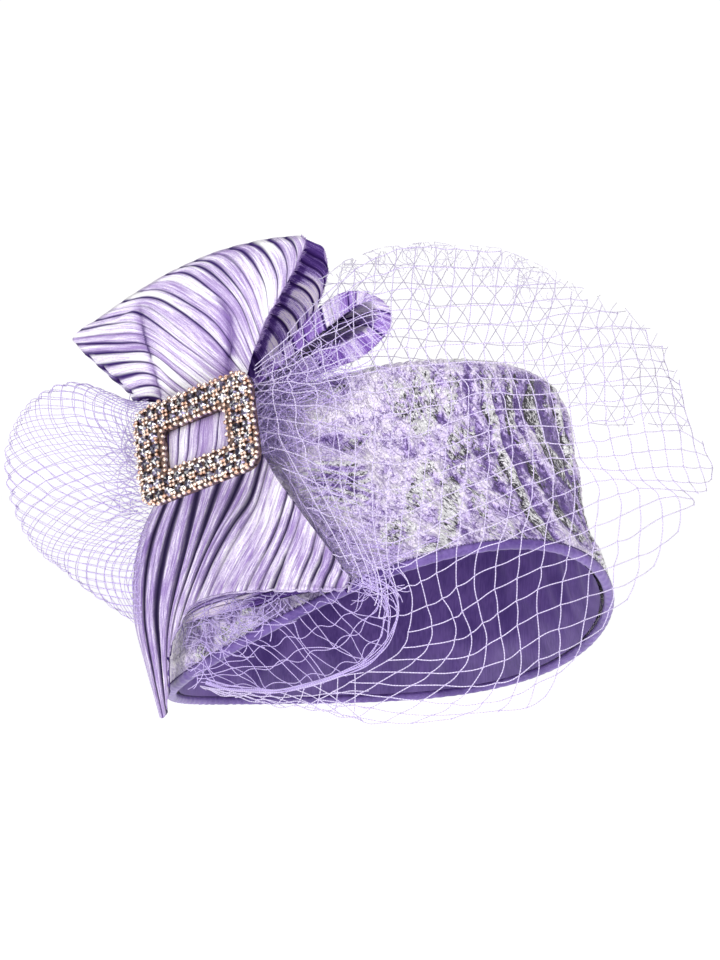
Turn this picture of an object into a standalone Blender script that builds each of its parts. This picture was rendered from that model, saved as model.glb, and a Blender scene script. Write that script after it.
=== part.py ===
"""Pillbox hat with a pleated bow, a stone-set buckle and a net veil.

Frame, metres: the origin is the centre of the head opening, +Z is up as worn,
-Y is the wearer's front and -X the wearer's right, where the bow sits.
Named sizes are in millimetres.
"""
import math

import bmesh
import bpy
from mathutils import Matrix, Vector

MM = 0.001

# ---------------------------------------------------------------- driving sizes
TILT_BACK = 19.6            # degrees the crown leans back on the head
ROLL = 1.5                  # degrees the bow side is lifted
OPEN_HALF_W = 84.0          # outside of the crown at the rim, half across the head
OPEN_HALF_L = 104.0         # the same, front to back
RIM_ARCH = 7.4              # the rim rises this much at the front and back, and dips at the sides
CROWN_WALL = 2.5
LINING_WALL = 0.8
GAP = 0.4                   # kept between neighbouring pieces
BINDING_R = 2.1
PLEAT_WALL = 1.2            # pleated satin
NET_WALL = 1.0              # outer form of the net
BUCKLE_L, BUCKLE_W, BUCKLE_T = 55.0, 40.0, 3.0
WINDOW_L, WINDOW_W = 30.0, 16.6
KNOT_HALF = (20.0, 13.0, 4.2)

# Crown profile: height above the rim, share of the rim's half sizes
CROWN_PROFILE = [
    # level, share
    (0.0, 1.000),
    (8.0, 0.982),
    (18.0, 0.963),
    (32.0, 0.948),
    (50.0, 0.943),
    (68.0, 0.944),
    (77.0, 0.939),
    (83.5, 0.917),
    (87.0, 0.870),
    (88.8, 0.720),
    (89.6, 0.360),
    (89.8, 0.000),
]

# ---------------------------------------------------------------- drawing sheet
# Bow and veil are laid out on an upright sheet through the origin, looked at
# from the wearer's front right. One square of the sheet is 0.4 mm. Squares are
# counted to the right and downwards, and the origin lies on square (387, 644).
# The third number of a row is how many mm nearer the onlooker the point is.
SEEN_AZIMUTH = -32.0
SEEN_DISTANCE = 1400.0
SQUARE = 0.4
ORIGIN_SQUARE = (387.0, 644.0)
EYE_SQUARE = (360.0, 480.0)

_a = math.radians(SEEN_AZIMUTH)
RIGHT = Vector((math.cos(_a), math.sin(_a), 0.0))
UP = Vector((0.0, 0.0, 1.0))
BACK = Vector((math.sin(_a), -math.cos(_a), 0.0))


def sheet(x, y, d=0.0):
    """The point d mm in front of the sheet on the sight line through square (x, y)."""
    u, v = (x - ORIGIN_SQUARE[0]) * SQUARE, (ORIGIN_SQUARE[1] - y) * SQUARE
    eu, ev = (EYE_SQUARE[0] - ORIGIN_SQUARE[0]) * SQUARE, (ORIGIN_SQUARE[1] - EYE_SQUARE[1]) * SQUARE
    k = 1.0 - d / SEEN_DISTANCE
    return RIGHT * (eu + (u - eu) * k) + UP * (ev + (v - ev) * k) + BACK * d


# Rails of the pleated pieces and the net: a row for each rail, stations along it.
# Each station is (across, down, nearer).
FAN_RAILS = [
    # front base, front middle, front end, fold, back end, back middle, back base
    [(152, 421, 40), (118, 386, 43), (80, 346, 33), (72, 340, 30), (80, 347, 27), (119, 387, 38), (153, 422, 36)],
    [(168, 414, 43), (147, 368, 48), (116, 320, 40), (105, 312, 34), (112, 322, 29), (146, 370, 37), (168, 415, 38)],
    [(187, 407, 47), (177, 343, 53), (166, 285, 47), (158, 275, 40), (164, 287, 32), (177, 345, 38), (188, 408, 41)],
    [(206, 401, 51), (208, 322, 58), (213, 264, 56), (212, 251, 47), (217, 264, 37), (213, 325, 42), (207, 402, 45)],
    [(223, 396, 56), (238, 312, 63), (259, 254, 64), (266, 240, 53), (274, 254, 41), (250, 318, 44), (225, 397, 50)],
    [(240, 391, 61), (263, 335, 68), (290, 262, 72), (309, 237, 60), (326, 268, 47), (300, 332, 48), (244, 392, 55)],
]
BACK_LOOP_RAILS = [
    # upper base, upper middle, upper end, fold, lower end, lower middle, lower base
    [(262, 383, 26), (286, 353, 26), (316, 322, 26), (334, 317, 23), (339, 331, 20), (306, 356, 22), (268, 385, 24)],
    [(262, 384, 34), (292, 348, 37), (329, 309, 38), (350, 303, 35), (359, 322, 32), (320, 357, 33), (269, 386, 32)],
    [(263, 385, 43), (298, 343, 48), (338, 300, 51), (364, 291, 49), (377, 321, 45), (334, 360, 44), (270, 386, 41)],
    [(264, 386, 53), (302, 340, 60), (345, 296, 66), (376, 292, 64), (389, 327, 60), (346, 363, 57), (272, 386, 51)],
]
TAIL_RAILS = [
    # under the buckle, hip, waist, lower end; the left rails run on into the long point
    [(160, 492, 50), (138, 545, 35), (133, 610, 28), (147, 672, 25), (160, 716, 25)],
    [(170, 488, 52), (152, 548, 36), (147, 612, 29), (155, 672, 26), (163, 717, 25)],
    [(181, 484, 54), (167, 545, 38), (160, 600, 31), (163, 655, 27), (167, 713, 26)],
    [(193, 479, 57), (183, 535, 43), (173, 585, 37), (168, 622, 32), (168, 662, 29)],
    [(208, 473, 60), (202, 520, 50), (196, 560, 46), (190, 590, 42), (184, 617, 38)],
    [(224, 466, 63), (227, 505, 58), (231, 540, 61), (234, 567, 64), (236, 590, 67)],
    [(243, 459, 67), (256, 495, 66), (271, 530, 74), (284, 561, 82), (296, 589, 89)],
    [(262, 452, 71), (283, 485, 76), (305, 520, 81), (330, 552, 91), (352, 583, 99)],
]
TAIL_UNDER_RAILS = [
    # hidden top, middle, lower edge
    [(182, 575, 30), (180, 600, 28), (180, 624, 28)],
    [(205, 565, 43), (205, 592, 42), (206, 616, 42)],
    [(240, 560, 58), (242, 586, 60), (244, 611, 62)],
    [(280, 558, 74), (284, 578, 76), (288, 598, 78)],
    [(322, 560, 86), (330, 574, 89), (338, 587, 92)],
]
# The net: from its free lower edge, up in front of the crown, over the top, and back to the crown's top.
NET_RAILS = [
    # free edge, low, rim level, middle, crown top, upper, crest, beyond
    [(185, 690, 50), (262, 640, 78), (358, 592, 104), (318, 520, 92), (276, 440, 76), (312, 345, 78), (345, 268, 52), (368, 275, 8)],
    [(290, 698, 88), (335, 650, 104), (388, 590, 110), (368, 510, 105), (348, 420, 94), (355, 330, 84), (380, 250, 50), (396, 280, 4)],
    [(370, 724, 105), (400, 650, 116), (435, 590, 119), (430, 500, 116), (425, 405, 104), (425, 310, 88), (430, 243, 48), (430, 288, -5)],
    [(450, 722, 110), (480, 650, 120), (500, 585, 121), (502, 490, 117), (500, 395, 105), (500, 310, 86), (500, 249, 40), (490, 298, -18)],
    [(535, 712, 108), (560, 640, 112), (578, 570, 110), (582, 480, 104), (578, 395, 92), (570, 320, 74), (560, 275, 32), (540, 318, -28)],
    [(602, 632, 88), (632, 580, 88), (645, 520, 84), (650, 455, 78), (645, 390, 66), (632, 335, 48), (615, 300, 10), (585, 343, -42)],
    [(668, 568, 52), (690, 525, 48), (702, 490, 40), (700, 450, 34), (685, 400, 24), (675, 360, 8), (657, 335, -16), (615, 370, -55)],
    [(700, 500, 12), (712, 478, 4), (708, 452, -6), (696, 425, -15), (682, 398, -24), (667, 378, -35), (645, 372, -50), (605, 398, -70)],
]
# Where each rail comes down on the crown's top: (across, nearer)
NET_LANDING = [(352, -18), (385, -28), (418, -38), (450, -48), (478, -58), (498, -67), (508, -76), (512, -86)]
NET_CLEAR = 2.5              # the net's form stays this far above the crown's top
# Gathered net beside the buckle: centre square, reach left, right, up and down in squares
PUFF_CENTRE, PUFF_NEARER = (76.0, 503.0), 24.0
PUFF_LEFT, PUFF_RIGHT, PUFF_UP, PUFF_DOWN = 64.0, 50.0, 118.0, 119.0
PUFF_HALF_T = 12.0
PUFF_TURN = 0.4              # mm nearer for each mm to the right, as the bow is turned
PUFF_SQUARE = 2.5            # how square the outline is: 2 would be round


# ---------------------------------------------------------------- tools
def clear_scene():
    for o in list(bpy.data.objects):
        bpy.data.objects.remove(o, do_unlink=True)


clear_scene()
HAT = bpy.data.collections.new("pillbox_hat")
bpy.context.scene.collection.children.link(HAT)


def material(name, colour, roughness, metallic=0.0):
    m = bpy.data.materials.new(name)
    m.use_nodes = True
    b = m.node_tree.nodes["Principled BSDF"]
    b.inputs["Base Color"].default_value = (*colour, 1.0)
    b.inputs["Roughness"].default_value = roughness
    b.inputs["Metallic"].default_value = metallic
    return m


BROCADE = material("brocade_lilac_silver", (0.62, 0.52, 0.80), 0.45, 0.2)
SATIN_DARK = material("satin_binding", (0.28, 0.19, 0.52), 0.4)
LINING = material("satin_lining", (0.33, 0.24, 0.60), 0.5)
PLEATED = material("pleated_satin", (0.66, 0.56, 0.86), 0.35)
NET = material("veil_net", (0.68, 0.58, 0.90), 0.5)
METAL = material("stone_setting", (0.72, 0.52, 0.42), 0.25, 1.0)


def blend_through(points, share):
    """Point of a smooth curve through the points, share 0 to 1 of their count."""
    at = share * (len(points) - 1)
    i = min(int(at), len(points) - 2)
    t = at - i
    p1, p2 = points[i], points[i + 1]
    p0 = points[i - 1] if i else p1 * 2 - p2
    p3 = points[i + 2] if i + 2 < len(points) else p2 * 2 - p1
    return (p1 * 2 + (p2 - p0) * t + (p0 * 2 - p1 * 5 + p2 * 4 - p3) * t * t + (p1 * 3 - p0 - p2 * 3 + p3) * t ** 3) * 0.5


def empty(name, rotation=(0, 0, 0), location=(0, 0, 0)):
    e = bpy.data.objects.new(name, None)
    e.rotation_euler = rotation
    e.location = location
    HAT.objects.link(e)
    return e


def add_object(name, data, mat, parent=None):
    data.materials.append(mat)
    o = bpy.data.objects.new(name, data)
    HAT.objects.link(o)
    o.parent = parent
    return o


def finish_mesh(bm, name):
    bmesh.ops.recalc_face_normals(bm, faces=bm.faces)
    mesh = bpy.data.meshes.new(name)
    bm.to_mesh(mesh)
    bm.free()
    mesh.shade_smooth()
    return mesh


def walled_grid(name, place, columns, rows, mat, wall, offset=0.0, parent=None):
    """A grid whose vertex at (column share, row share) goes where place() says, in mm, with a wall."""
    bm = bmesh.new()
    bmesh.ops.create_grid(bm, x_segments=columns, y_segments=rows, size=0.5)
    for v in bm.verts:
        v.co = place(v.co.x + 0.5, v.co.y + 0.5) * MM
    bmesh.ops.remove_doubles(bm, verts=bm.verts, dist=0.00002)
    o = add_object(name, finish_mesh(bm, name), mat, parent)
    s = o.modifiers.new("wall", "SOLIDIFY")
    s.thickness = wall * MM
    s.offset = offset
    s.use_even_offset = True
    return o


def railed(name, rails, columns, rows, mat, wall):
    """A walled surface lofted across rails that are given on the drawing sheet."""
    lines = [[p if isinstance(p, Vector) else sheet(*p) for p in rail] for rail in rails]

    def place(s, t):
        return blend_through([blend_through(line, t) for line in lines], s)
    return walled_grid(name, place, columns, rows, mat, wall)


# ---------------------------------------------------------------- crown, lining, binding
LEAN = empty("worn_lean", (math.radians(-TILT_BACK), math.radians(ROLL), 0))
LEAN_TURN = Matrix.Rotation(math.radians(ROLL), 3, "Y") @ Matrix.Rotation(math.radians(-TILT_BACK), 3, "X")
TOP = CROWN_PROFILE[-1][0]
EDGE = BINDING_R + 3 * GAP   # the crown's cloth starts this far above the binding's centre line


def profile_share(level):
    for (l0, s0), (l1, s1) in zip(CROWN_PROFILE, CROWN_PROFILE[1:]):
        if level <= l1:
            return s0 + (s1 - s0) * (level - l0) / (l1 - l0)
    return CROWN_PROFILE[-1][1]


def crown_point(angle, level, inset=0.0):
    """Point of the crown's outside. The rim's arch fades out towards the top."""
    share = profile_share(level)
    z = level - RIM_ARCH * math.cos(2 * angle) * max(0.0, 1.0 - level / 87.0)
    near_axis = min(1.0, share * 3)
    w = OPEN_HALF_W * share - inset * near_axis
    l = OPEN_HALF_L * share - inset * near_axis
    return Vector((w * math.cos(angle), l * math.sin(angle), z))


def station_level(t):
    """Level at share t of the way over the profile's rows, starting above the binding."""
    levels = [EDGE] + [row[0] for row in CROWN_PROFILE[1:]]
    at = t * (len(levels) - 1)
    i = min(int(at), len(levels) - 2)
    return levels[i] + (levels[i + 1] - levels[i]) * (at - i)


def crown_place(s, t):
    return crown_point(2 * math.pi * s, station_level(t))


LINING_INSET = CROWN_WALL + 2 * GAP


def lining_place(s, t):
    level = station_level(t)
    p = crown_point(2 * math.pi * s, level, LINING_INSET)
    p.z -= LINING_INSET * min(1.0, max(0.0, (level - 60.0) / 22.0))
    return p


walled_grid("crown", crown_place, 40, 11, BROCADE, CROWN_WALL, -1.0, LEAN)
walled_grid("lining", lining_place, 32, 11, LINING, LINING_WALL, -1.0, LEAN)


def tube_ring(name, points, radius, mat, parent):
    c = bpy.data.curves.new(name, "CURVE")
    c.dimensions = "3D"
    s = c.splines.new("POLY")
    s.points.add(len(points) - 1)
    for p, q in zip(s.points, points):
        p.co = (*(q * MM), 1.0)
    s.use_cyclic_u = True
    c.bevel_depth = radius * MM
    c.bevel_resolution = 2
    return add_object(name, c, mat, parent)


RING = 44
tube_ring("rim_binding", [crown_point(2 * math.pi * i / RING, 0.0, 1.2) for i in range(RING)],
          BINDING_R, SATIN_DARK, LEAN)

# ---------------------------------------------------------------- bow
railed("bow_fan", FAN_RAILS, 12, 20, PLEATED, PLEAT_WALL)
railed("bow_back_loop", BACK_LOOP_RAILS, 6, 20, PLEATED, PLEAT_WALL)
railed("bow_tail", TAIL_RAILS, 14, 10, PLEATED, PLEAT_WALL)
railed("bow_tail_under", TAIL_UNDER_RAILS, 8, 3, PLEATED, 1.0)

# ---------------------------------------------------------------- buckle and knot
BUCKLE_RISE = 18.6          # degrees its long side climbs to the onlooker's right
BUCKLE_YAW = 35.6           # degrees its face is turned towards the wearer's back
BUCKLE_TIP = 14.8           # degrees its face looks up
BUCKLE_SQUARE, BUCKLE_NEARER = (197.5, 439.5), 66.0
_y, _t = math.radians(BUCKLE_YAW), math.radians(BUCKLE_TIP)
FACE = (BACK * math.cos(_y) - RIGHT * math.sin(_y)) * math.cos(_t) + UP * math.sin(_t)
ALONG = RIGHT * math.cos(_y) + BACK * math.sin(_y)
_r = math.radians(BUCKLE_RISE)
LONG = ALONG * math.cos(_r) + FACE.cross(ALONG) * math.sin(_r)
SHORT = FACE.cross(LONG)
TURN = Matrix((LONG, SHORT, FACE)).transposed()
BUCKLE_SEAT = empty("buckle_seat", TURN.to_euler(), sheet(*BUCKLE_SQUARE, BUCKLE_NEARER) * MM)


def rounded(half_l, half_w, r, steps=3):
    out = []
    for cx, cy, start in ((1, 1, 0), (-1, 1, 90), (-1, -1, 180), (1, -1, 270)):
        for i in range(steps + 1):
            a = math.radians(start + 90 * i / steps)
            out.append((cx * (half_l - r) + r * math.cos(a), cy * (half_w - r) + r * math.sin(a)))
    return out


frame = bpy.data.curves.new("buckle", "CURVE")
frame.dimensions = "2D"
frame.fill_mode = "BOTH"
frame.extrude = BUCKLE_T / 2 * MM
for outline in (rounded(BUCKLE_L / 2, BUCKLE_W / 2, 6.0), rounded(WINDOW_L / 2, WINDOW_W / 2, 2.0)):
    s = frame.splines.new("POLY")
    s.points.add(len(outline) - 1)
    for p, (x, y) in zip(s.points, outline):
        p.co = (x * MM, y * MM, 0.0, 1.0)
    s.use_cyclic_u = True
add_object("buckle", frame, METAL, BUCKLE_SEAT)

bm = bmesh.new()
bmesh.ops.create_uvsphere(bm, u_segments=16, v_segments=8, radius=1.0)
for v in bm.verts:
    v.co = Vector((v.co.x * KNOT_HALF[0], v.co.y * KNOT_HALF[1], v.co.z * KNOT_HALF[2])) * MM
knot = add_object("bow_knot", finish_mesh(bm, "bow_knot"), PLEATED, BUCKLE_SEAT)
knot.location = (0, 0, -(BUCKLE_T / 2 + GAP + KNOT_HALF[2]) * MM)

# ---------------------------------------------------------------- net
_n = LEAN_TURN @ Vector((0, 0, 1))
_top = (LEAN_TURN @ Vector((0, 0, TOP + NET_CLEAR))).dot(_n)


def on_top(x, d):
    """Point over the crown's top on the upright line of the sheet at x, d mm nearer."""
    a, b = sheet(x, 0, d), sheet(x, 100, d)
    f = (_top - a.dot(_n)) / (b.dot(_n) - a.dot(_n))
    return a + (b - a) * f


railed("veil_cage", [rail + [on_top(*land)] for rail, land in zip(NET_RAILS, NET_LANDING)], 16, 18, NET, NET_WALL)

bm = bmesh.new()
bmesh.ops.create_uvsphere(bm, u_segments=20, v_segments=8, radius=1.0)
for v in bm.verts:
    x, y = (math.copysign(abs(c) ** (2 / PUFF_SQUARE), c) for c in (v.co.x, v.co.y))
    across = (PUFF_RIGHT if x > 0 else PUFF_LEFT) * x
    down = -(PUFF_UP if y > 0 else PUFF_DOWN) * y
    nearer = PUFF_NEARER + PUFF_TURN * across * SQUARE + PUFF_HALF_T * v.co.z
    v.co = sheet(PUFF_CENTRE[0] + across, PUFF_CENTRE[1] + down, nearer) * MM
add_object("veil_side_puff", finish_mesh(bm, "veil_side_puff"), NET)
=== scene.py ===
"""Looks of the pillbox hat: crinkled brocade crown, satin lining and binding,
pleated bow with a stone-set buckle, and a net veil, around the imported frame."""
import math

import bpy
import numpy as np
from mathutils import Matrix, Vector


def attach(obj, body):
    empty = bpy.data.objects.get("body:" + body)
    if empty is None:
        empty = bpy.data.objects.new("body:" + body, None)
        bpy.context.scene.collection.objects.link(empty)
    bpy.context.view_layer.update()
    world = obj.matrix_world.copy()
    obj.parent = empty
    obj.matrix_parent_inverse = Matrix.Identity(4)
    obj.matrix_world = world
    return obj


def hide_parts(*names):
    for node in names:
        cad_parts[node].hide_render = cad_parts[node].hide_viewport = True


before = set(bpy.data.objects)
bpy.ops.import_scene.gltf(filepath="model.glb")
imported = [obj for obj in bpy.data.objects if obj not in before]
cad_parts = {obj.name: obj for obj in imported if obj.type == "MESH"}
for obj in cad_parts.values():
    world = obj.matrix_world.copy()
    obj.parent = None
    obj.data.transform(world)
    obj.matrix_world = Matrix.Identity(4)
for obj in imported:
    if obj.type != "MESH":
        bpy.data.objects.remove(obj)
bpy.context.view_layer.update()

MM = 0.001
scene = bpy.context.scene

# ---------------------------------------------------------------- drawing sheet
# The same upright sheet as the part's: squares of 0.4 mm, counted to the right
# and downwards, origin at square (387, 644), and mm nearer the onlooker.
SEEN = math.radians(-32.0)
DISTANCE, SQUARE = 1400.0, 0.4
OX, OY = 387.0, 644.0
EU, EV = (360.0 - OX) * SQUARE, (OY - 480.0) * SQUARE
RIGHT = np.array([math.cos(SEEN), math.sin(SEEN), 0.0])
UP = np.array([0.0, 0.0, 1.0])
BACK = np.array([math.sin(SEEN), -math.cos(SEEN), 0.0])


def sheet(x, y, d):
    x, y, d = np.broadcast_arrays(np.asarray(x, float), np.asarray(y, float), np.asarray(d, float))
    u, v, k = (x - OX) * SQUARE, (OY - y) * SQUARE, 1.0 - d / DISTANCE
    return RIGHT * (EU + (u - EU) * k)[..., None] + UP * (EV + (v - EV) * k)[..., None] + BACK * d[..., None]


def squares(p):
    """(across, down, nearer) of points in mm."""
    d, r, z = p @ BACK, p @ RIGHT, p[..., 2]
    k = 1.0 - d / DISTANCE
    return ((r - EU) / k + EU) / SQUARE + OX, OY - ((z - EV) / k + EV) / SQUARE, d


# ---------------------------------------------------------------- small tools
def smooth(a, b, x):
    t = np.clip((x - a) / (b - a), 0.0, 1.0)
    return t * t * (3 - 2 * t)


def unit(v):
    return v / np.maximum(np.linalg.norm(v, axis=-1, keepdims=True), 1e-9)


def lattice_hash(i, j, k, seed):
    n = (i.astype(np.int64) * 374761393 + j.astype(np.int64) * 668265263 + k.astype(np.int64) * 2147483647 + seed * 1274126177) & 0xFFFFFFFF
    n = ((n ^ (n >> 13)) * 1274126177) & 0xFFFFFFFF
    n = ((n ^ (n >> 16)) * 2246822519) & 0xFFFFFFFF
    return ((n ^ (n >> 15)) & 0xFFFFFF) / float(0xFFFFFF)


def noise(p, seed=0):
    """Smooth noise from -1 to 1 at points (..., 3)."""
    i = np.floor(p).astype(np.int64)
    f = p - i
    f = f * f * f * (f * (f * 6 - 15) + 10)
    out = 0.0
    for dx in (0, 1):
        for dy in (0, 1):
            for dz in (0, 1):
                w = (f[..., 0] if dx else 1 - f[..., 0]) * (f[..., 1] if dy else 1 - f[..., 1]) * (f[..., 2] if dz else 1 - f[..., 2])
                out = out + w * lattice_hash(i[..., 0] + dx, i[..., 1] + dy, i[..., 2] + dz, seed)
    return out * 2 - 1


def flat_noise(x, y, seed=0):
    return noise(np.stack(np.broadcast_arrays(x, y, 0.37), -1), seed)


def cells(p, seed=0):
    """Distances to the nearest and the second nearest of scattered points."""
    i = np.floor(p).astype(np.int64)
    best = np.full(p.shape[:-1], 9.0)
    second = best.copy()
    for dx in (-1, 0, 1):
        for dy in (-1, 0, 1):
            for dz in (-1, 0, 1):
                c = i + np.array([dx, dy, dz])
                q = np.stack([c[..., a] + lattice_hash(c[..., 0], c[..., 1], c[..., 2], seed + 7 * a + 1) for a in range(3)], -1)
                r = np.linalg.norm(p - q, axis=-1)
                second = np.where(r < best, best, np.minimum(second, r))
                best = np.minimum(best, r)
    return best, second


def spline_weights(n, at):
    """Rows of weights that blend n points into a smooth curve at 'at', 0 to n - 1."""
    at = np.clip(np.asarray(at, float), 0, n - 1)
    i = np.minimum(at.astype(int), n - 2)
    t = at - i
    b = [(-t + 2 * t ** 2 - t ** 3) / 2, (2 - 5 * t ** 2 + 3 * t ** 3) / 2, (t + 4 * t ** 2 - 3 * t ** 3) / 2, (-t ** 2 + t ** 3) / 2]
    w = np.zeros((len(at), n))
    rows = np.arange(len(at))
    for k, c in zip((-1, 0, 1, 2), b):
        j = i + k
        low, high = j < 0, j > n - 1
        mid = ~(low | high)
        np.add.at(w, (rows[mid], j[mid]), c[mid])
        for end, a, z in ((low, 0, 1), (high, n - 1, n - 2)):
            np.add.at(w, (rows[end], np.full(end.sum(), a)), 2 * c[end])
            np.add.at(w, (rows[end], np.full(end.sum(), z)), -c[end])
    return w


def even_curve(points, count):
    """Points at even steps along the smooth curve through the points."""
    points = np.asarray(points, float)
    fine = spline_weights(len(points), np.linspace(0, len(points) - 1, 24 * len(points))) @ points
    run = np.concatenate([[0], np.cumsum(np.linalg.norm(np.diff(fine[:, :2], axis=0), axis=1))])
    return np.stack([np.interp(np.linspace(0, run[-1], count), run, fine[:, k]) for k in range(fine.shape[1])], -1)


def thin_plate(xy, values, ease=0.0):
    xy, values = np.asarray(xy, float), np.asarray(values, float)
    n = len(xy)

    def kernel(a, b):
        r2 = ((a[:, None] - b[None]) ** 2).sum(-1) / 1e4
        return r2 * np.log(r2 + 1e-12)
    m = np.zeros((n + 3, n + 3))
    m[:n, :n] = kernel(xy, xy) + np.eye(n) * ease
    m[:n, n:] = np.c_[np.ones(n), xy / 100]
    m[n:, :n] = m[:n, n:].T
    w = np.linalg.solve(m, np.r_[values, 0, 0, 0])

    def at(x, y):
        x, y = np.broadcast_arrays(np.asarray(x, float), np.asarray(y, float))
        q = np.stack([x.ravel(), y.ravel()], -1)
        out = np.concatenate([kernel(c, xy) @ w[:n] + np.c_[np.ones(len(c)), c / 100] @ w[n:] for c in np.array_split(q, max(1, len(q) // 4000))])
        return out.reshape(x.shape)
    return at


def railed(rails, s, t):
    """Points of the part's loft: s and t run 0 to 1 over the rails and their stations. -> (s, t, 3)"""
    rails = np.asarray(rails, float)
    ws = spline_weights(rails.shape[0], np.asarray(s) * (rails.shape[0] - 1))
    wt = spline_weights(rails.shape[1], np.asarray(t) * (rails.shape[1] - 1))
    return np.einsum("ab,bcd,ec->aed", ws, rails, wt)


def depth_from(rails, t_from, t_to, s=13, t=9, ease=0.002):
    p = railed(rails, np.linspace(0, 1, s), np.linspace(t_from, t_to, t)).reshape(-1, 3)
    return thin_plate(p[:, :2], p[:, 2], ease)


def mesh_object(name, verts, faces, material, attributes=None, soft=True, body="root"):
    """verts in mm; faces an array of quads or triangles, or a list of such arrays."""
    groups = [np.asarray(f) for f in (faces if isinstance(faces, list) else [faces]) if len(f)]
    mesh = bpy.data.meshes.new(name)
    verts = np.asarray(verts, float).reshape(-1, 3) * MM
    mesh.vertices.add(len(verts))
    mesh.vertices.foreach_set("co", verts.ravel())
    loops = np.concatenate([g.ravel() for g in groups])
    sizes = np.concatenate([np.full(len(g), g.shape[1]) for g in groups])
    mesh.loops.add(len(loops))
    mesh.loops.foreach_set("vertex_index", loops.astype(np.int32))
    mesh.polygons.add(len(sizes))
    mesh.polygons.foreach_set("loop_start", np.concatenate([[0], np.cumsum(sizes)[:-1]]).astype(np.int32))
    mesh.polygons.foreach_set("use_smooth", np.full(len(sizes), soft))
    mesh.update(calc_edges=True)
    for key, value in (attributes or {}).items():
        value = np.asarray(value, np.float32)
        kind = "FLOAT" if value.ndim == 1 else "FLOAT_VECTOR"
        layer = mesh.attributes.new(key, kind, "POINT")
        layer.data.foreach_set("value" if kind == "FLOAT" else "vector", value.ravel())
    mesh.materials.append(material)
    o = bpy.data.objects.new(name, mesh)
    scene.collection.objects.link(o)
    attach(o, body)
    return o


def grid_faces(rows, columns, wrap=False, start=0):
    """Quads of a rows x columns grid of vertices, row by row."""
    i, j = np.meshgrid(np.arange(rows - 1), np.arange(columns if wrap else columns - 1), indexing="ij")
    k = (j + 1) % columns
    return start + np.stack([i * columns + j, i * columns + k, (i + 1) * columns + k, (i + 1) * columns + j], -1).reshape(-1, 4)


def grid_normals(p):
    """Unit normals of a grid of points."""
    return unit(np.cross(np.gradient(p, axis=0), np.gradient(p, axis=1)))


def thickened(o, mm, offset=0.0):
    s = o.modifiers.new("wall", "SOLIDIFY")
    s.thickness, s.offset, s.use_even_offset = mm * MM, offset, False
    return s


def tubes(name, lines, radius, material, sides=4, knots=None, knot_radius=0.0, attributes=True, closed=False, twist=None):
    """One mesh of thin tubes along lines, each an (n, 3) array in mm."""
    verts, quads, tris, run, start = [], [], [], [], 0
    ring = np.linspace(0, 2 * math.pi, sides, endpoint=False)
    for n, line in enumerate(lines):
        line = np.asarray(line, float)
        if len(line) < 2:
            continue
        if closed:
            tangent = unit(np.roll(line, -1, 0) - np.roll(line, 1, 0))
        else:
            tangent = unit(np.gradient(line, axis=0))
        ref = np.where(np.abs(tangent @ BACK)[:, None] > 0.9, UP, BACK)
        a = unit(np.cross(tangent, ref))
        b = np.cross(tangent, a)
        r = radius[n] if hasattr(radius, "__len__") else radius
        r = np.broadcast_to(r, (len(line),))
        turn = ring[None] + (twist(line)[:, None] if twist else 0.0)
        if twist:
            r = r[:, None] * (1 + 0.22 * np.cos(2 * ring)[None])
        else:
            r = r[:, None]
        p = line[:, None] + a[:, None] * (np.cos(turn) * r)[..., None] + b[:, None] * (np.sin(turn) * r)[..., None]
        verts.append(p.reshape(-1, 3))
        steps = np.concatenate([[0], np.cumsum(np.linalg.norm(np.diff(line, axis=0), axis=1))])
        run.append(np.repeat(np.stack([steps, np.full(len(line), float(n)), np.zeros(len(line))], -1), sides, axis=0))
        f = grid_faces(len(line), sides, True, start)
        if closed:
            k = np.arange(sides)
            last = start + (len(line) - 1) * sides
            f = np.r_[f, np.stack([last + k, last + (k + 1) % sides, start + (k + 1) % sides, start + k], -1)]
        quads.append(f)
        start += len(line) * sides
    if knots is not None and len(knots):
        octa = np.array([[1, 0, 0], [0, 1, 0], [-1, 0, 0], [0, -1, 0], [0, 0, 1], [0, 0, -1]], float)
        tri = np.array([[0, 1, 4], [1, 2, 4], [2, 3, 4], [3, 0, 4], [1, 0, 5], [2, 1, 5], [3, 2, 5], [0, 3, 5]])
        knots = np.asarray(knots)
        verts.append((knots[:, None] + octa[None] * knot_radius).reshape(-1, 3))
        run.append(np.zeros((len(knots) * 6, 3)))
        tris.append((tri[None] + start + 6 * np.arange(len(knots))[:, None, None]).reshape(-1, 3))
    verts = np.concatenate(verts)
    groups = [np.concatenate(quads)] + ([np.concatenate(tris)] if tris else [])
    return mesh_object(name, verts, groups, material, {"run": np.concatenate(run)} if attributes else None)


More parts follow.
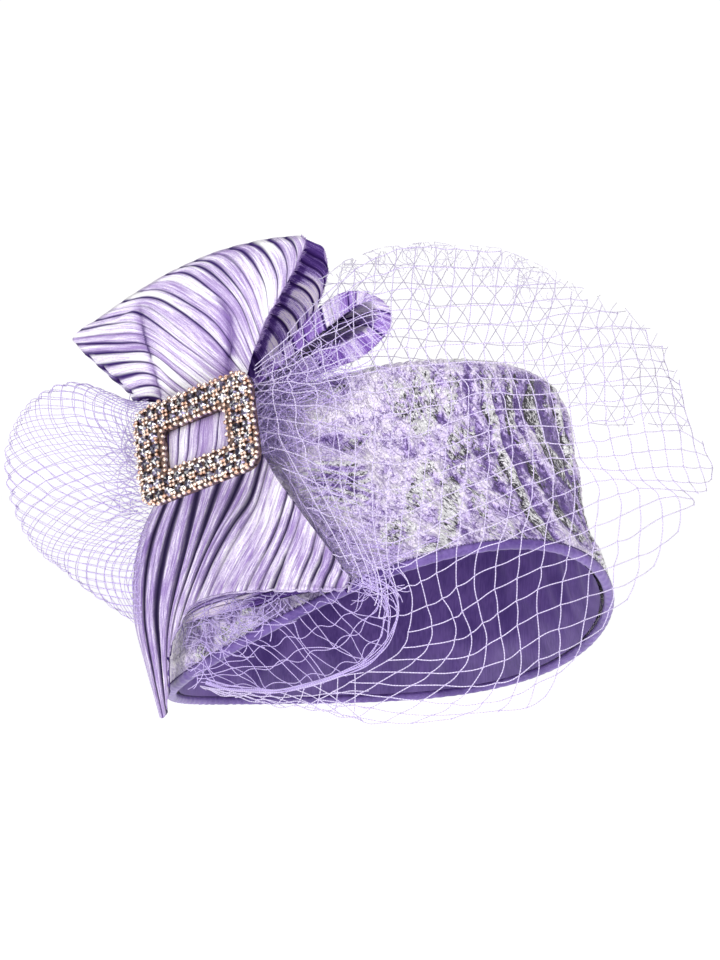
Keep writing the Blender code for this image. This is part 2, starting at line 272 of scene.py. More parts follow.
# ---------------------------------------------------------------- materials
class Graph:
    """A material and short ways to add nodes to it."""

    def __init__(self, name):
        self.m = bpy.data.materials.new(name)
        self.m.use_nodes = True
        self.t = self.m.node_tree
        self.b = self.t.nodes["Principled BSDF"]

    def put(self, socket, value):
        if isinstance(value, bpy.types.NodeSocket):
            self.t.links.new(value, socket)
        elif hasattr(value, "__len__") and len(value) == 3 and socket.type == "RGBA":
            socket.default_value = (*value, 1.0)
        else:
            socket.default_value = value

    def add(self, kind, out=0, props=None, inputs=None):
        n = self.t.nodes.new("ShaderNode" + kind)
        for k, v in (props or {}).items():
            setattr(n, k, v)
        for k, v in (inputs or {}).items():
            self.put(n.inputs[k], v)
        return n.outputs[out]

    def math(self, op, a, b=0.0, clamp=False):
        return self.add("Math", 0, {"operation": op, "use_clamp": clamp}, {0: a, 1: b})

    def mix(self, f, a, b, blend="MIX"):
        return self.add("Mix", 2, {"data_type": "RGBA", "blend_type": blend}, {0: f, 6: a, 7: b})

    def ramp(self, f, stops, ease="EASE"):
        n = self.t.nodes.new("ShaderNodeValToRGB")
        n.color_ramp.interpolation = ease
        e = n.color_ramp.elements
        while len(e) < len(stops):
            e.new(0.5)
        for item, (at, colour) in zip(e, stops):
            item.position = at
            item.color = (*(colour if hasattr(colour, "__len__") else (colour,) * 3), 1.0)
        self.put(n.inputs[0], f)
        return n.outputs[0]

    def attribute(self, name, vector=False):
        return self.add("Attribute", 1 if vector else 2, {"attribute_name": name})

    def stretch(self, vector, by):
        return self.add("VectorMath", 0, {"operation": "MULTIPLY"}, {0: vector, 1: by})

    def here(self):
        return self.add("TexCoord", 3)

    def noise(self, vector, scale, detail=3.0, rough=0.5, distortion=0.0):
        return self.add("TexNoise", 0, None, {"Vector": vector, "Scale": scale, "Detail": detail, "Roughness": rough, "Distortion": distortion})

    def bump(self, height, strength, distance, normal=None):
        ins = {"Height": height, "Strength": strength, "Distance": distance}
        if normal is not None:
            ins["Normal"] = normal
        return self.add("Bump", 0, None, ins)

    def set(self, **values):
        for k, v in values.items():
            self.put(self.b.inputs[k.replace("_", " ")], v)
        return self


def pleated_satin(name, dark, mid, light, pale, groove_shade, rough=0.30, grain=1.7, level=1.235, streak=1.50, cloud=0.62, gloss=0.38):
    """Satin with streaks along its pleats, the cloth's grain and painted sheen up to a near-white highlight; 'groove'
    darkens the fold lines with painted shade, and 'shade' adds painted light and shade band by band.
    """
    g = Graph(name)
    st = g.attribute("st", True)
    groove = g.attribute("groove")
    shade = g.attribute("shade")
    fine = g.noise(g.stretch(st, (grain, 0.085, 1.0)), 1.0, 5.0, 0.72)
    broad = g.noise(g.stretch(st, (0.42, 0.05, 1.0)), 1.0, 2.0, 0.5)
    thread = g.noise(g.stretch(st, (9.0, 1.3, 1.0)), 1.0, 2.0, 0.6)
    tone = g.math("ADD", g.math("MULTIPLY", fine, streak), g.math("MULTIPLY", broad, 0.55))
    tone = g.math("ADD", tone, g.math("MULTIPLY", shade, cloud))
    tone = g.math("ADD", tone, g.math("MULTIPLY", thread, 0.75))
    tone = g.math("SUBTRACT", tone, level, True)
    colour = g.ramp(tone, [(0.14, dark), (0.36, mid), (0.50, light), (0.66, pale)], "LINEAR")
    # painted shade: the fold lines darkened to the groove colour
    colour = g.mix(groove, colour, groove_shade)
    g.set(Base_Color=colour, Roughness=g.math("ADD", g.math("ADD", g.math("MULTIPLY", thread, 0.22), rough - 0.06), g.math("MULTIPLY", groove, 0.55)))
    height = g.math("ADD", fine, g.math("MULTIPLY", thread, 0.35))
    g.set(Normal=g.bump(height, 0.5, 0.0005))
    g.b.inputs["Metallic"].default_value = 0.04
    g.b.inputs["Specular IOR Level"].default_value = gloss
    return g.m


def plain_satin(name, dark, light, rough, grain=(900.0, 160.0, 900.0), bump=0.25):
    g = Graph(name)
    here = g.here()
    weave = g.noise(g.stretch(here, grain), 1.0, 3.0, 0.6)
    cloud = g.noise(here, 55.0, 3.0, 0.55)
    tone = g.math("ADD", g.math("MULTIPLY", weave, 0.45), g.math("MULTIPLY", cloud, 0.55))
    g.set(Base_Color=g.ramp(tone, [(0.36, dark), (0.64, light)]), Roughness=g.math("ADD", g.math("MULTIPLY", weave, 0.2), rough - 0.1))
    g.set(Normal=g.bump(weave, bump, 0.0002))
    g.b.inputs["Sheen Weight"].default_value = 0.12
    g.b.inputs["Sheen Roughness"].default_value = 0.45
    return g.m


def brocade():
    """Crinkled lilac satin with silver thread where 'silver' says so; 'flow' follows the thread's grain. Shading read
    from the crinkles' relief is painted light on their ridges and painted shade in their valleys.
    """
    g = Graph("crinkled_brocade")
    here, flow = g.here(), g.attribute("flow", True)
    relief_shading, silver = g.attribute("relief_shading"), g.attribute("silver")
    weave = g.noise(g.stretch(flow, (3.6, 3.6, 3.6)), 1.0, 2.0, 0.7)
    fold_a = g.noise(g.stretch(flow, (0.27, 0.27, 0.34)), 1.0, 4.0, 0.6, 0.6)
    fold_b = g.noise(here, 560.0, 2.0, 0.55, 0.3)

    def crease(n, width):
        off = g.math("ABSOLUTE", g.math("SUBTRACT", n, 0.5))
        return g.math("SUBTRACT", 1.0, g.math("MULTIPLY", off, 1.0 / width), True)

    # painted shade: dark lines along the crinkles' creases
    crease_a, crease_b = crease(fold_a, 0.035), crease(fold_b, 0.045)
    # painted light and shade on the crinkles' facets, from the same noise as their bumps
    facets = g.math("ADD", g.math("MULTIPLY", fold_a, 0.46), g.math("MULTIPLY", fold_b, 0.56))
    tone = g.math("ADD", g.math("MULTIPLY", relief_shading, 0.85), facets)
    tone = g.math("ADD", tone, g.math("MULTIPLY", weave, 0.54))
    tone = g.math("SUBTRACT", tone, g.math("ADD", g.math("MULTIPLY", crease_a, 0.26), g.math("MULTIPLY", crease_b, 0.22)))
    tone = g.math("SUBTRACT", tone, 0.70)
    # the ramp's palest end is painted sheen on the satin
    satin = g.ramp(tone, [(0.08, (0.12, 0.055, 0.29)), (0.25, (0.36, 0.24, 0.62)), (0.38, (0.66, 0.53, 0.90)), (0.52, (0.84, 0.73, 1.0)), (0.86, (0.98, 0.91, 1.0))], "LINEAR")
    # silver thread from black to white: partly its own speckle, partly painted glints and dark reflections of the metal
    # thread
    speck = g.noise(g.stretch(flow, (1.25, 1.25, 1.25)), 1.0, 2.0, 0.8, 0.5)
    flake = g.math("ADD", speck, g.math("ADD", g.math("MULTIPLY", g.math("SUBTRACT", relief_shading, 0.5), 0.28), g.math("MULTIPLY", g.math("SUBTRACT", silver, 0.6), 0.10)))
    thread = g.ramp(flake, [(0.40, (0.020, 0.015, 0.024)), (0.45, (0.18, 0.16, 0.19)), (0.49, (0.72, 0.69, 0.75)), (0.53, (1.0, 0.99, 1.0))], "LINEAR")
    edge = g.noise(g.stretch(flow, (0.55, 0.55, 0.55)), 1.0, 4.0, 0.7, 0.6)
    mask = g.math("GREATER_THAN", g.math("ADD", silver, g.math("MULTIPLY", g.math("SUBTRACT", edge, 0.5), 1.5)), 0.56)
    g.set(Base_Color=g.mix(mask, satin, thread), Metallic=g.math("ADD", g.math("MULTIPLY", mask, 0.10), 0.03))
    g.set(Roughness=g.math("SUBTRACT", g.math("ADD", g.math("MULTIPLY", weave, 0.2), 0.26), g.math("MULTIPLY", mask, 0.06)))
    height = g.math("SUBTRACT", g.math("ADD", facets, g.math("MULTIPLY", weave, 0.10)), g.math("ADD", g.math("MULTIPLY", crease_a, 0.20), g.math("MULTIPLY", crease_b, 0.12)))
    height = g.math("ADD", height, g.math("MULTIPLY", g.math("MULTIPLY", speck, mask), 0.20))
    g.set(Normal=g.bump(height, 1.0, 0.0021))
    g.b.inputs["Sheen Weight"].default_value = 0.15
    g.b.inputs["Specular IOR Level"].default_value = 0.7
    return g.m


def net_thread(name, dark, light):
    g = Graph(name)
    run = g.attribute("run", True)
    twist = g.add("TexWave", 0, {"wave_type": "BANDS", "bands_direction": "DIAGONAL"}, {"Vector": g.stretch(run, (1.0, 3.1, 1.0)), "Scale": 0.55, "Distortion": 1.2, "Detail": 2.0})
    cloud = g.noise(run, 0.35, 3.0, 0.6)
    tone = g.math("ADD", g.math("MULTIPLY", twist, 0.4), g.math("MULTIPLY", cloud, 0.6))
    g.set(Base_Color=g.ramp(tone, [(0.30, dark), (0.70, light)]), Roughness=g.math("ADD", g.math("MULTIPLY", twist, 0.15), 0.42))
    g.set(Normal=g.bump(twist, 0.3, 0.0001))
    g.b.inputs["Sheen Weight"].default_value = 0.3
    return g.m


def jewel():
    """Foiled stones: each facet has its own tone, from near black to white, as painted sparkle and dark reflections of
    the cut glass.
    """
    g = Graph("faceted_stone")
    facet = g.attribute("facet")
    here = g.here()
    cloud = g.noise(here, 900.0, 2.0, 0.6)
    tone = g.math("ADD", g.math("MULTIPLY", facet, 0.85), g.math("MULTIPLY", cloud, 0.15))
    # painted sparkle and dark reflections, facet by facet
    colour = g.ramp(tone, [(0.15, (0.012, 0.010, 0.02)), (0.42, (0.08, 0.065, 0.14)), (0.60, (0.30, 0.26, 0.42)), (0.74, (1.0, 1.0, 1.0))], "LINEAR")
    g.set(Base_Color=colour, Roughness=g.math("ADD", g.math("MULTIPLY", cloud, 0.06), 0.04), Metallic=g.math("ADD", g.math("MULTIPLY", facet, 0.2), 0.7))
    g.b.inputs["Coat Weight"].default_value = 0.8
    g.b.inputs["Coat Roughness"].default_value = 0.03
    return g.m


def rose_metal(name, dark, light, rough):
    g = Graph(name)
    here = g.here()
    cloud = g.noise(here, 520.0, 3.0, 0.6)
    fine = g.noise(here, 2600.0, 2.0, 0.6)
    g.set(Base_Color=g.ramp(cloud, [(0.36, dark), (0.62, light)]), Metallic=1.0, Roughness=g.math("ADD", g.math("MULTIPLY", fine, 0.22), rough))
    g.set(Normal=g.bump(fine, 0.2, 0.00008))
    return g.m


# painted shade: the colour the bow's fold lines are darkened to; in the satins below, the palest tone of each ramp is
# painted highlight
GROOVE_SHADE = (0.036, 0.010, 0.13)
BOW = pleated_satin("pleated_satin", (0.33, 0.22, 0.52), (0.57, 0.46, 0.72), (0.79, 0.72, 0.89), (1.0, 0.99, 1.0), GROOVE_SHADE)
# a darker copy of the bow's satin for the bow's inner sides and the tail's underside: painted shade
BOW_SHADED = pleated_satin("pleated_satin_painted_shade", (0.075, 0.03, 0.21), (0.20, 0.11, 0.42), (0.52, 0.38, 0.82), (1.0, 0.90, 1.0), (0.030, 0.008, 0.10), grain=2.2, level=1.20, gloss=0.14)
BROCADE = brocade()
CORD = plain_satin("rolled_edge", (0.26, 0.17, 0.44), (0.76, 0.68, 0.88), 0.4, (2400.0, 2400.0, 2400.0), 0.5)
BINDING = plain_satin("binding_satin", (0.085, 0.040, 0.23), (0.18, 0.105, 0.38), 0.42)
# the tail's satin, with finer and stronger streaks; its near-black grooves and slightly darker tones are painted shade
BOW_TAIL = pleated_satin("pleated_satin_tail", (0.30, 0.19, 0.50), (0.53, 0.42, 0.69), (0.76, 0.67, 0.87), (0.98, 0.95, 1.0), (0.014, 0.004, 0.05), grain=1.35, level=1.42, streak=2.1, cloud=0.34)
# the loop's outside, a darker copy of the bow's satin: painted shade
BOW_LOOP_SHADED = pleated_satin("pleated_satin_loop", (0.17, 0.07, 0.40), (0.36, 0.20, 0.66), (0.62, 0.48, 0.88), (0.98, 0.92, 1.0), (0.040, 0.012, 0.14), grain=1.6, level=1.13, gloss=0.20)
# the loop's inside, a brighter and more saturated copy: painted light in its shadowed hollow
BOW_LOOP_INSIDE_LIT = pleated_satin("pleated_satin_loop_inside", (0.24, 0.10, 0.66), (0.38, 0.20, 0.84), (0.58, 0.40, 0.97), (0.90, 0.76, 1.0), (0.08, 0.025, 0.30), grain=1.6, level=1.00, gloss=0.05)
LINING = plain_satin("lining_satin", (0.085, 0.045, 0.21), (0.17, 0.10, 0.34), 0.36, (1300.0, 1300.0, 150.0), 0.35)
STITCH = plain_satin("sewing_thread", (0.05, 0.03, 0.12), (0.11, 0.07, 0.22), 0.6)
NET = net_thread("veil_thread", (0.52, 0.43, 0.72), (0.76, 0.69, 0.90))
NET_SOFT = net_thread("veil_thread_soft", (0.46, 0.34, 0.74), (0.68, 0.57, 0.92))
# a brighter, more saturated copy of the veil thread for the gathers, many in the bow's shadow: painted light
NET_GATHERED_LIT = net_thread("veil_thread_gathered", (0.50, 0.37, 0.80), (0.80, 0.68, 1.0))
NET_FAR = net_thread("veil_thread_far", (0.62, 0.56, 0.76), (0.82, 0.78, 0.91))
JEWEL = jewel()
PRONG = rose_metal("rose_gold_prong", (0.66, 0.40, 0.29), (1.0, 0.94, 0.88), 0.10)
SETTING = rose_metal("setting_metal", (0.05, 0.035, 0.04), (0.30, 0.20, 0.17), 0.24)

# ---------------------------------------------------------------- camera, floor, light
camera = bpy.data.objects.new("camera", bpy.data.cameras.new("camera"))
scene.collection.objects.link(camera)
camera.data.lens, camera.data.sensor_width, camera.data.clip_end = 131.25, 36.0, 120.0
camera.location = Vector((RIGHT * EU + UP * EV + BACK * DISTANCE) * MM)
camera.rotation_euler = Vector(-BACK).to_track_quat("-Z", "Y").to_euler()
scene.camera = camera

FLOOR_Z = -0.150
rings = [(0.0, 1)] + [(r, 64) for r in (0.15, 0.4, 0.8, 1.5, 4.0, 12.0, 45.0)]
fv, ff = [[0, 0, FLOOR_Z / MM]], []
for r, n in rings[1:]:
    fv += [[r / MM * math.cos(2 * math.pi * k / n), r / MM * math.sin(2 * math.pi * k / n), FLOOR_Z / MM] for k in range(n)]
floor_mesh = bpy.data.meshes.new("floor")
floor_mesh.from_pydata((np.array(fv) * MM).tolist(), [], [[0, 1 + k, 1 + (k + 1) % 64] for k in range(64)] + [[1 + i * 64 + k, 1 + (i + 1) * 64 + k, 1 + (i + 1) * 64 + (k + 1) % 64, 1 + i * 64 + (k + 1) % 64] for i in range(6) for k in range(64)])
pale = Graph("pale_floor")
pale.set(Base_Color=pale.ramp(pale.noise(pale.here(), 3.0, 3.0, 0.5), [(0.3, (0.90, 0.90, 0.905)), (0.7, (0.93, 0.93, 0.935))]), Roughness=0.75)
pale.set(Emission_Color=(1.0, 1.0, 1.0), Emission_Strength=0.68)
floor_mesh.materials.append(pale.m)
floor = bpy.data.objects.new("floor", floor_mesh)
scene.collection.objects.link(floor)

world = bpy.data.worlds.new("studio")
scene.world = world
world.use_nodes = True
wt = world.node_tree
back = wt.nodes["Background"]
back.inputs[0].default_value = (1.0, 1.0, 1.0, 1.0)
WORLD_LIGHT, WORLD_SEEN = 0.36, 1.05
path = wt.nodes.new("ShaderNodeLightPath")
level = wt.nodes.new("ShaderNodeMapRange")
level.inputs["To Min"].default_value, level.inputs["To Max"].default_value = WORLD_LIGHT, WORLD_SEEN
wt.links.new(path.outputs["Is Camera Ray"], level.inputs["Value"])
wt.links.new(level.outputs[0], back.inputs[1])


def softbox(name, azimuth, elevation, distance, size, power, colour=(1, 1, 1), at=(0, 0, 60.0)):
    """A square light; azimuth 0 is over the camera, positive to its right."""
    a, e = math.radians(azimuth), math.radians(elevation)
    way = (BACK * math.cos(a) + RIGHT * math.sin(a)) * math.cos(e) + UP * math.sin(e)
    data = bpy.data.lights.new(name, "AREA")
    data.shape, data.size, data.energy, data.color = "SQUARE", size, power, colour
    o = bpy.data.objects.new(name, data)
    scene.collection.objects.link(o)
    o.location = Vector(np.array(at) * MM + way * distance)
    o.rotation_euler = Vector(-way).to_track_quat("-Z", "Y").to_euler()
    return o


softbox("key", -4, 32, 1.5, 0.8, 9.0)
softbox("fill", -55, 18, 1.7, 1.3, 5.0)
softbox("fill_right", 38, 14, 1.7, 1.1, 4.6)
softbox("top", -10, 78, 1.3, 0.8, 2.0)
softbox("rim", 165, 35, 1.8, 0.9, 3.0)
softbox("far_side", 100, 25, 2.0, 0.9, 0.7)
scene.view_settings.view_transform = "Standard"
scene.view_settings.look = "None"

# ---------------------------------------------------------------- crown
TILT_BACK, ROLL = math.radians(-19.6), math.radians(1.5)
LEAN = np.array((Matrix.Rotation(ROLL, 3, "Y") @ Matrix.Rotation(TILT_BACK, 3, "X")))
HALF_W, HALF_L, ARCH = 84.0, 104.0, 7.4
PROFILE = np.array([
    # level, share
    (0.0, 1.000), (8.0, 0.982), (18.0, 0.963), (32.0, 0.948), (50.0, 0.943), (68.0, 0.944), (77.0, 0.939),
    (83.5, 0.917), (87.0, 0.870), (88.8, 0.720), (89.6, 0.360), (89.8, 0.000),
])


def crown_point(angle, level, share, inset=0.0):
    near_axis = np.minimum(1.0, share * 3)
    z = level - ARCH * np.cos(2 * angle) * np.maximum(0.0, 1.0 - level / 87.0)
    return np.stack([(HALF_W * share - inset * near_axis) * np.cos(angle), (HALF_L * share - inset * near_axis) * np.sin(angle), z], -1)


_fine = spline_weights(9, np.linspace(0, 8, 400)) @ PROFILE[:9]
_run = np.concatenate([[0], np.cumsum(np.hypot(np.diff(_fine[:, 0]), np.diff(_fine[:, 1]) * 94))])


def side_profile(share_of_run, first):
    """(level, share) at even steps up the side, from level 'first' to the top's edge."""
    at = _run[0] + np.interp(first, _fine[:, 0], _run)
    r = at + (_run[-1] - at) * share_of_run
    return np.interp(r, _run, _fine[:, 0]), np.interp(r, _run, _fine[:, 1])


def disc(n):
    """Concentric square-to-disc grid (n + 1)^2: radius, angle; its rim steps evenly."""
    a, b = np.meshgrid(np.linspace(-1, 1, n + 1), np.linspace(-1, 1, n + 1), indexing="ij")
    r = np.maximum(np.abs(a), np.abs(b))
    quarter = math.pi / 4
    with np.errstate(divide="ignore", invalid="ignore"):
        t = np.where(np.abs(a) >= np.abs(b), np.where(a > 0, quarter * b / a, 4 * quarter + quarter * b / a), np.where(b > 0, 2 * quarter - quarter * a / b, 6 * quarter - quarter * a / b))
    return r, np.where(r == 0, 0.0, t)


def rim_order(n):
    """Grid positions of the disc's rim in order of angle, from angle -45 degrees."""
    east = [(n, j) for j in range(n)]
    north = [(n - i, n) for i in range(n)]
    west = [(0, n - j) for j in range(n)]
    south = [(i, 0) for i in range(n)]
    return east + north + west + south


CLOSER = math.radians(238)       # where the columns of the cloth stand closest


def crown_surface(n, rows, first, inset, top_drop=0.0, bias=0.0):
    """One open shell: the side in 4n columns, and the top as a disc sewn to it."""
    angle = -math.pi / 4 + 2 * math.pi * np.arange(4 * n) / (4 * n)
    angle = angle - bias * np.sin(angle - CLOSER)
    level, share = side_profile(np.linspace(0, 1, rows), first)
    A, L = np.meshgrid(angle, level, indexing="xy")
    S = np.repeat(share[:, None], 4 * n, axis=1)
    side = crown_point(A, L, S, inset)
    r, t = disc(n)
    t = t - bias * r * np.sin(t - CLOSER)
    top_share = 0.870 * r
    top_level = np.interp(top_share, PROFILE[8:, 1][::-1], PROFILE[8:, 0][::-1])
    top_level = np.where(top_share > 0.5, top_level + 0.25 * np.sin(np.clip((top_share - 0.5) / 0.37, 0, 1) * math.pi), top_level)
    top = crown_point(t, top_level, top_share, inset)
    drop = lambda lv: top_drop * np.minimum(1.0, np.maximum(0.0, (lv - 60.0) / 22.0))
    side[..., 2] -= drop(L)
    top[..., 2] -= drop(top_level)
    order = rim_order(n)
    index = np.full((n + 1, n + 1), -1)
    for k, (i, j) in enumerate(order):
        index[i, j] = (rows - 1) * 4 * n + k
    inner = index < 0
    index[inner] = rows * 4 * n + np.arange(inner.sum())
    verts = np.concatenate([side.reshape(-1, 3), top[inner]])
    kind = np.concatenate([np.zeros(rows * 4 * n), np.ones(inner.sum())])
    f1 = grid_faces(rows, 4 * n, True)
    i, j = np.meshgrid(np.arange(n), np.arange(n), indexing="ij")
    f2 = np.stack([index[i, j], index[i + 1, j], index[i + 1, j + 1], index[i, j + 1]], -1).reshape(-1, 4)
    ang = np.concatenate([A.ravel(), t[inner]])
    lev = np.concatenate([L.ravel(), top_level[inner]])
    sh = np.concatenate([S.ravel(), top_share[inner]])
    return verts, np.concatenate([f1, f2]), kind, ang, lev, sh


def outward(angle, level, share):
    """Rough outward direction of the crown at a point."""
    side = np.stack([np.cos(angle) / HALF_W, np.sin(angle) / HALF_L, np.zeros_like(angle)], -1)
    side = unit(side)
    up = smooth(76.0, 87.0, level)[..., None]
    return unit(side * (1 - up) + np.array([0, 0, 1.0]) * up)


def ellipse(x, y, cx, cy, rx, ry, turn=0.0):
    c, s = math.cos(math.radians(turn)), math.sin(math.radians(turn))
    u, v = ((x - cx) * c + (y - cy) * s) / rx, (-(x - cx) * s + (y - cy) * c) / ry
    return 1 - smooth(0.75, 1.15, np.hypot(u, v))


def crown_relief(local, x, y, near, wrap, ang, lev):
    """(height in mm, painted shading 0 to 1, silver 0 to 1, grain) of the crinkled cloth."""
    warp = np.stack([noise(local / 11.0, 11), noise(local / 11.0, 12), noise(local / 11.0, 13)], -1)
    q = local + warp * 3.4

    def crease_of(p, seed):
        return 1 - 2.2 * np.abs(noise(p, seed))

    def crease(size, seed):
        return crease_of(q / size, seed)

    fine = 0.95 * crease(5.6, 22) - 0.62 * crease(3.5, 23) + 0.36 * crease(2.3, 24)
    pucker = 0.45 * crease(11.0, 21) + fine
    # wrinkles that run out from the bow
    reach, heading = np.hypot(x - 222, y - 438), np.arctan2(y - 438, x - 222)
    drawn = crease_of(np.stack([heading * 8.5 + 0.3 * noise(q / 14.0, 37), reach / 62, x * 0], -1), 36) + 0.45 * crease_of(np.stack([heading * 19, reach / 34, x * 0], -1), 38)
    from_bow = near * (1 - smooth(330, 440, x))
    pucker = pucker * (1 - 0.40 * from_bow) + 1.05 * from_bow * drawn
    # folds that draw together towards the front of the rim; their like lies round the back
    across = x - 0.0031 * np.maximum(y - 380, 0) ** 2
    across = across + 6.0 * noise(np.stack([x / 60, y / 60, x * 0], -1), 31) + 2.6 * noise(np.stack([x / 17, y / 17, x * 0], -1), 32)
    upright = crease_of(np.stack([across / 9.5, y / 34, x * 0], -1), 39)
    mid = near * smooth(380, 410, x) * (1 - smooth(462, 486, x))
    pucker = pucker * (1 - 0.35 * mid) + 0.85 * mid * upright
    phase = across / 12.2 + 0.6 * noise(np.stack([across / 34, y / 90, x * 0], -1), 33)
    fold_mask = wrap * smooth(436, 468, across) * smooth(366, 384, y)
    own = 0.72 + 0.5 * noise(np.stack([np.floor(phase) * 3.7 + 0.5, y / 45, x * 0], -1), 34)
    fold = (0.74 * np.abs(np.sin(math.pi * phase)) ** 0.75 + 0.30 * np.abs(np.sin(math.pi * (phase * 2.3 + 0.3))) ** 0.8) * own * 1.25
    back_phase = (np.degrees(ang) * 1.75 + lev * 0.42) / 5.6 + 0.9 * noise(local / 26.0, 41)
    back_mask = (1 - np.maximum(near, fold_mask)) * smooth(0.05, 0.45, noise(local / 48.0, 43) + 0.12)
    back_fold = np.abs(np.sin(math.pi * back_phase)) ** 0.7
    height = pucker * (1 - 0.60 * fold_mask - 0.45 * back_mask) + 3.4 * fold_mask * (fold - 0.55) + 1.7 * back_mask * (back_fold - 0.4)
    # painted shading: lighter on the ridges of the crinkles and folds, darker in their valleys
    relief_shading = 0.63 + 0.21 * fine * (1 - 0.35 * fold_mask) * (1 - 0.3 * from_bow) + 0.20 * from_bow * (drawn - 0.35) + 0.80 * fold_mask * (fold - 0.72) + 0.45 * back_mask * (back_fold - 0.55)
    # painted light beside the bow, where the bow shades the crown, and painted shading that follows the large creases
    # and the upright wrinkles
    relief_shading = relief_shading + from_bow * (0.05 + 0.10 * (1 - smooth(285, 330, x))) + 0.07 * crease(11.0, 21) + mid * (0.17 * (upright - 0.35) - 0.04)
    # painted shade: darker towards the right of the near side, which turns from the light, and on the patch under the
    # tail
    relief_shading = relief_shading - near * (0.05 * smooth(360, 400, x) + 0.34 * smooth(440, 560, x) * (1 - 0.6 * smooth(500, 560, y)) + 0.30 * ellipse(x, y, 225, 632, 75, 40, -30))
    # silver thread: leaves, columns and stripes on the near side, scattered leaves elsewhere
    leaf = ellipse(x, y, 334, 484, 41, 30, 8)
    strokes = 0.5 + 0.5 * np.sin((y - 484 - (x - 296) * 0.10 + 0.0042 * (x - 334) ** 2 * np.sign(484 - y)) / 1.35 + 1.6 * noise(np.stack([x / 24, y / 24, x * 0], -1), 35))
    s = leaf * (1.35 * strokes - 0.12)
    # painted shade in the lines between the leaf's strokes
    relief_shading = relief_shading - 0.27 * leaf * (1 - smooth(0.0, 0.55, strokes))
    s = np.maximum(s, 0.64 * ellipse(x, y, 424, 402, 19, 38, 4))
    s = np.maximum(s, 0.56 * ellipse(x, y, 396, 398, 12, 26, -18))
    s = np.maximum(s, 0.66 * ellipse(x, y, 449, 512, 12, 44, 6))
    s = np.maximum(s, 0.62 * ellipse(x, y, 420, 486, 11, 36, 22))
    s = np.maximum(s, 1.0 * ellipse(x, y, 430, 547, 20, 5, -12))
    s = np.maximum(s, 0.60 * ellipse(x, y, 398, 532, 24, 15, -20))
    s = np.maximum(s, 0.74 * ellipse(x, y, 322, 392, 30, 8, -16))
    s = np.maximum(s, 0.60 * ellipse(x, y, 462, 440, 16, 24, 30))
    s = np.maximum(s, 0.52 * ellipse(x, y, 318, 418, 16, 6, 10))
    s = np.maximum(s, 0.56 * ellipse(x, y, 452, 392, 8, 30, 10))
    s = np.maximum(s, 0.50 * ellipse(x, y, 360, 440, 22, 7, -24))
    s = np.maximum(s, 0.54 * ellipse(x, y, 478, 498, 9, 26, -24))
    stripe = smooth(0.0, 0.8, np.cos(2 * math.pi * phase * 0.5 + 2.2) + 0.5 * noise(np.stack([x / 16, y / 16, x * 0], -1), 51))
    s = np.maximum(s, fold_mask * stripe * (0.74 + 0.35 * noise(np.stack([x / 19, y / 19, x * 0], -1), 52)))
    s = np.maximum(s, 0.66 * near * smooth(0.0, 0.3, 0.05 + noise(local / 7.0, 53)) * ellipse(x, y, 235, 628, 60, 42, -30))
    s = s * np.maximum(near, wrap)
    patch = smooth(0.12, 0.42, noise((local + warp * 7) / 24.0, 61))
    s = np.maximum(s, (1 - near) * patch * (0.62 + 0.3 * noise(local / 4.5, 62)))
    s = np.maximum(s, near * smooth(372, 400, x) * 0.46 * smooth(0.15, 0.5, noise((local + warp * 4) / np.array([8.0, 8.0, 15.0]), 63)))
    s = np.maximum(s, near * 0.22 * smooth(0.3, 0.6, noise(local / 9.0, 64)))
    # the grain of the cloth: upright round the side, leaning as the folds do, and lengthwise in the leaf
    turn_by = -0.42 * np.clip(1 - lev / 87.0, 0, 1) ** 2
    c, s_ = np.cos(turn_by), np.sin(turn_by)
    grain = np.stack([local[:, 0] * c - local[:, 1] * s_, local[:, 0] * s_ + local[:, 1] * c, local[:, 2] * 0.52], -1)
    in_leaf = near * ellipse(x, y, 334, 484, 50, 38, 8)
    heart = in_leaf > 0.9
    lengthwise = grain[heart].mean(0) + (local - local[heart].mean(0)) * np.array([0.45, 0.45, 1.0])
    flow = grain * (1 - in_leaf[:, None]) + lengthwise * in_leaf[:, None] + warp * 0.8
    return height, np.clip(relief_shading, 0, 1), np.clip(s, 0, 1), flow


N = 148
verts, faces, kind, ang, lev, sh = crown_surface(N, 106, 1.4, 0.0, bias=0.30)
world_points = verts @ LEAN.T
x, y, d = squares(world_points)
out_local = outward(ang, lev, sh)
facing = (out_local @ LEAN.T) @ BACK
near = smooth(-0.10, 0.12, facing) * (1 - smooth(84.5, 87.5, lev))
# the front's squares, carried on round both sides at an even step
theta = (ang - CLOSER + math.pi) % (2 * math.pi) - math.pi
held_theta = np.clip(theta, -1.08, 1.08)
ux, uy, _ = squares(crown_point(CLOSER + held_theta, lev, sh) @ LEAN.T)
ux = ux + 170.0 * (theta - held_theta)
wrap = (1 - smooth(1.45, 2.05, np.abs(theta))) * (1 - smooth(84.5, 87.5, lev))
height, relief_shading, silver, flow = crown_relief(verts, ux, uy, near, wrap, ang, lev)
calm = smooth(1.4, 6.0, lev) * (1 - 0.45 * smooth(70, 82, lev) * (1 - smooth(88.9, 89.4, lev)))
crown_verts = verts + out_local * (np.clip((height - np.percentile(height, 60)) * 0.82, -3.1, 1.9) * calm)[:, None]
CROWN = mesh_object("crown_cloth", crown_verts @ LEAN.T, faces, BROCADE, {"relief_shading": relief_shading, "silver": silver, "flow": flow})
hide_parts("crown")

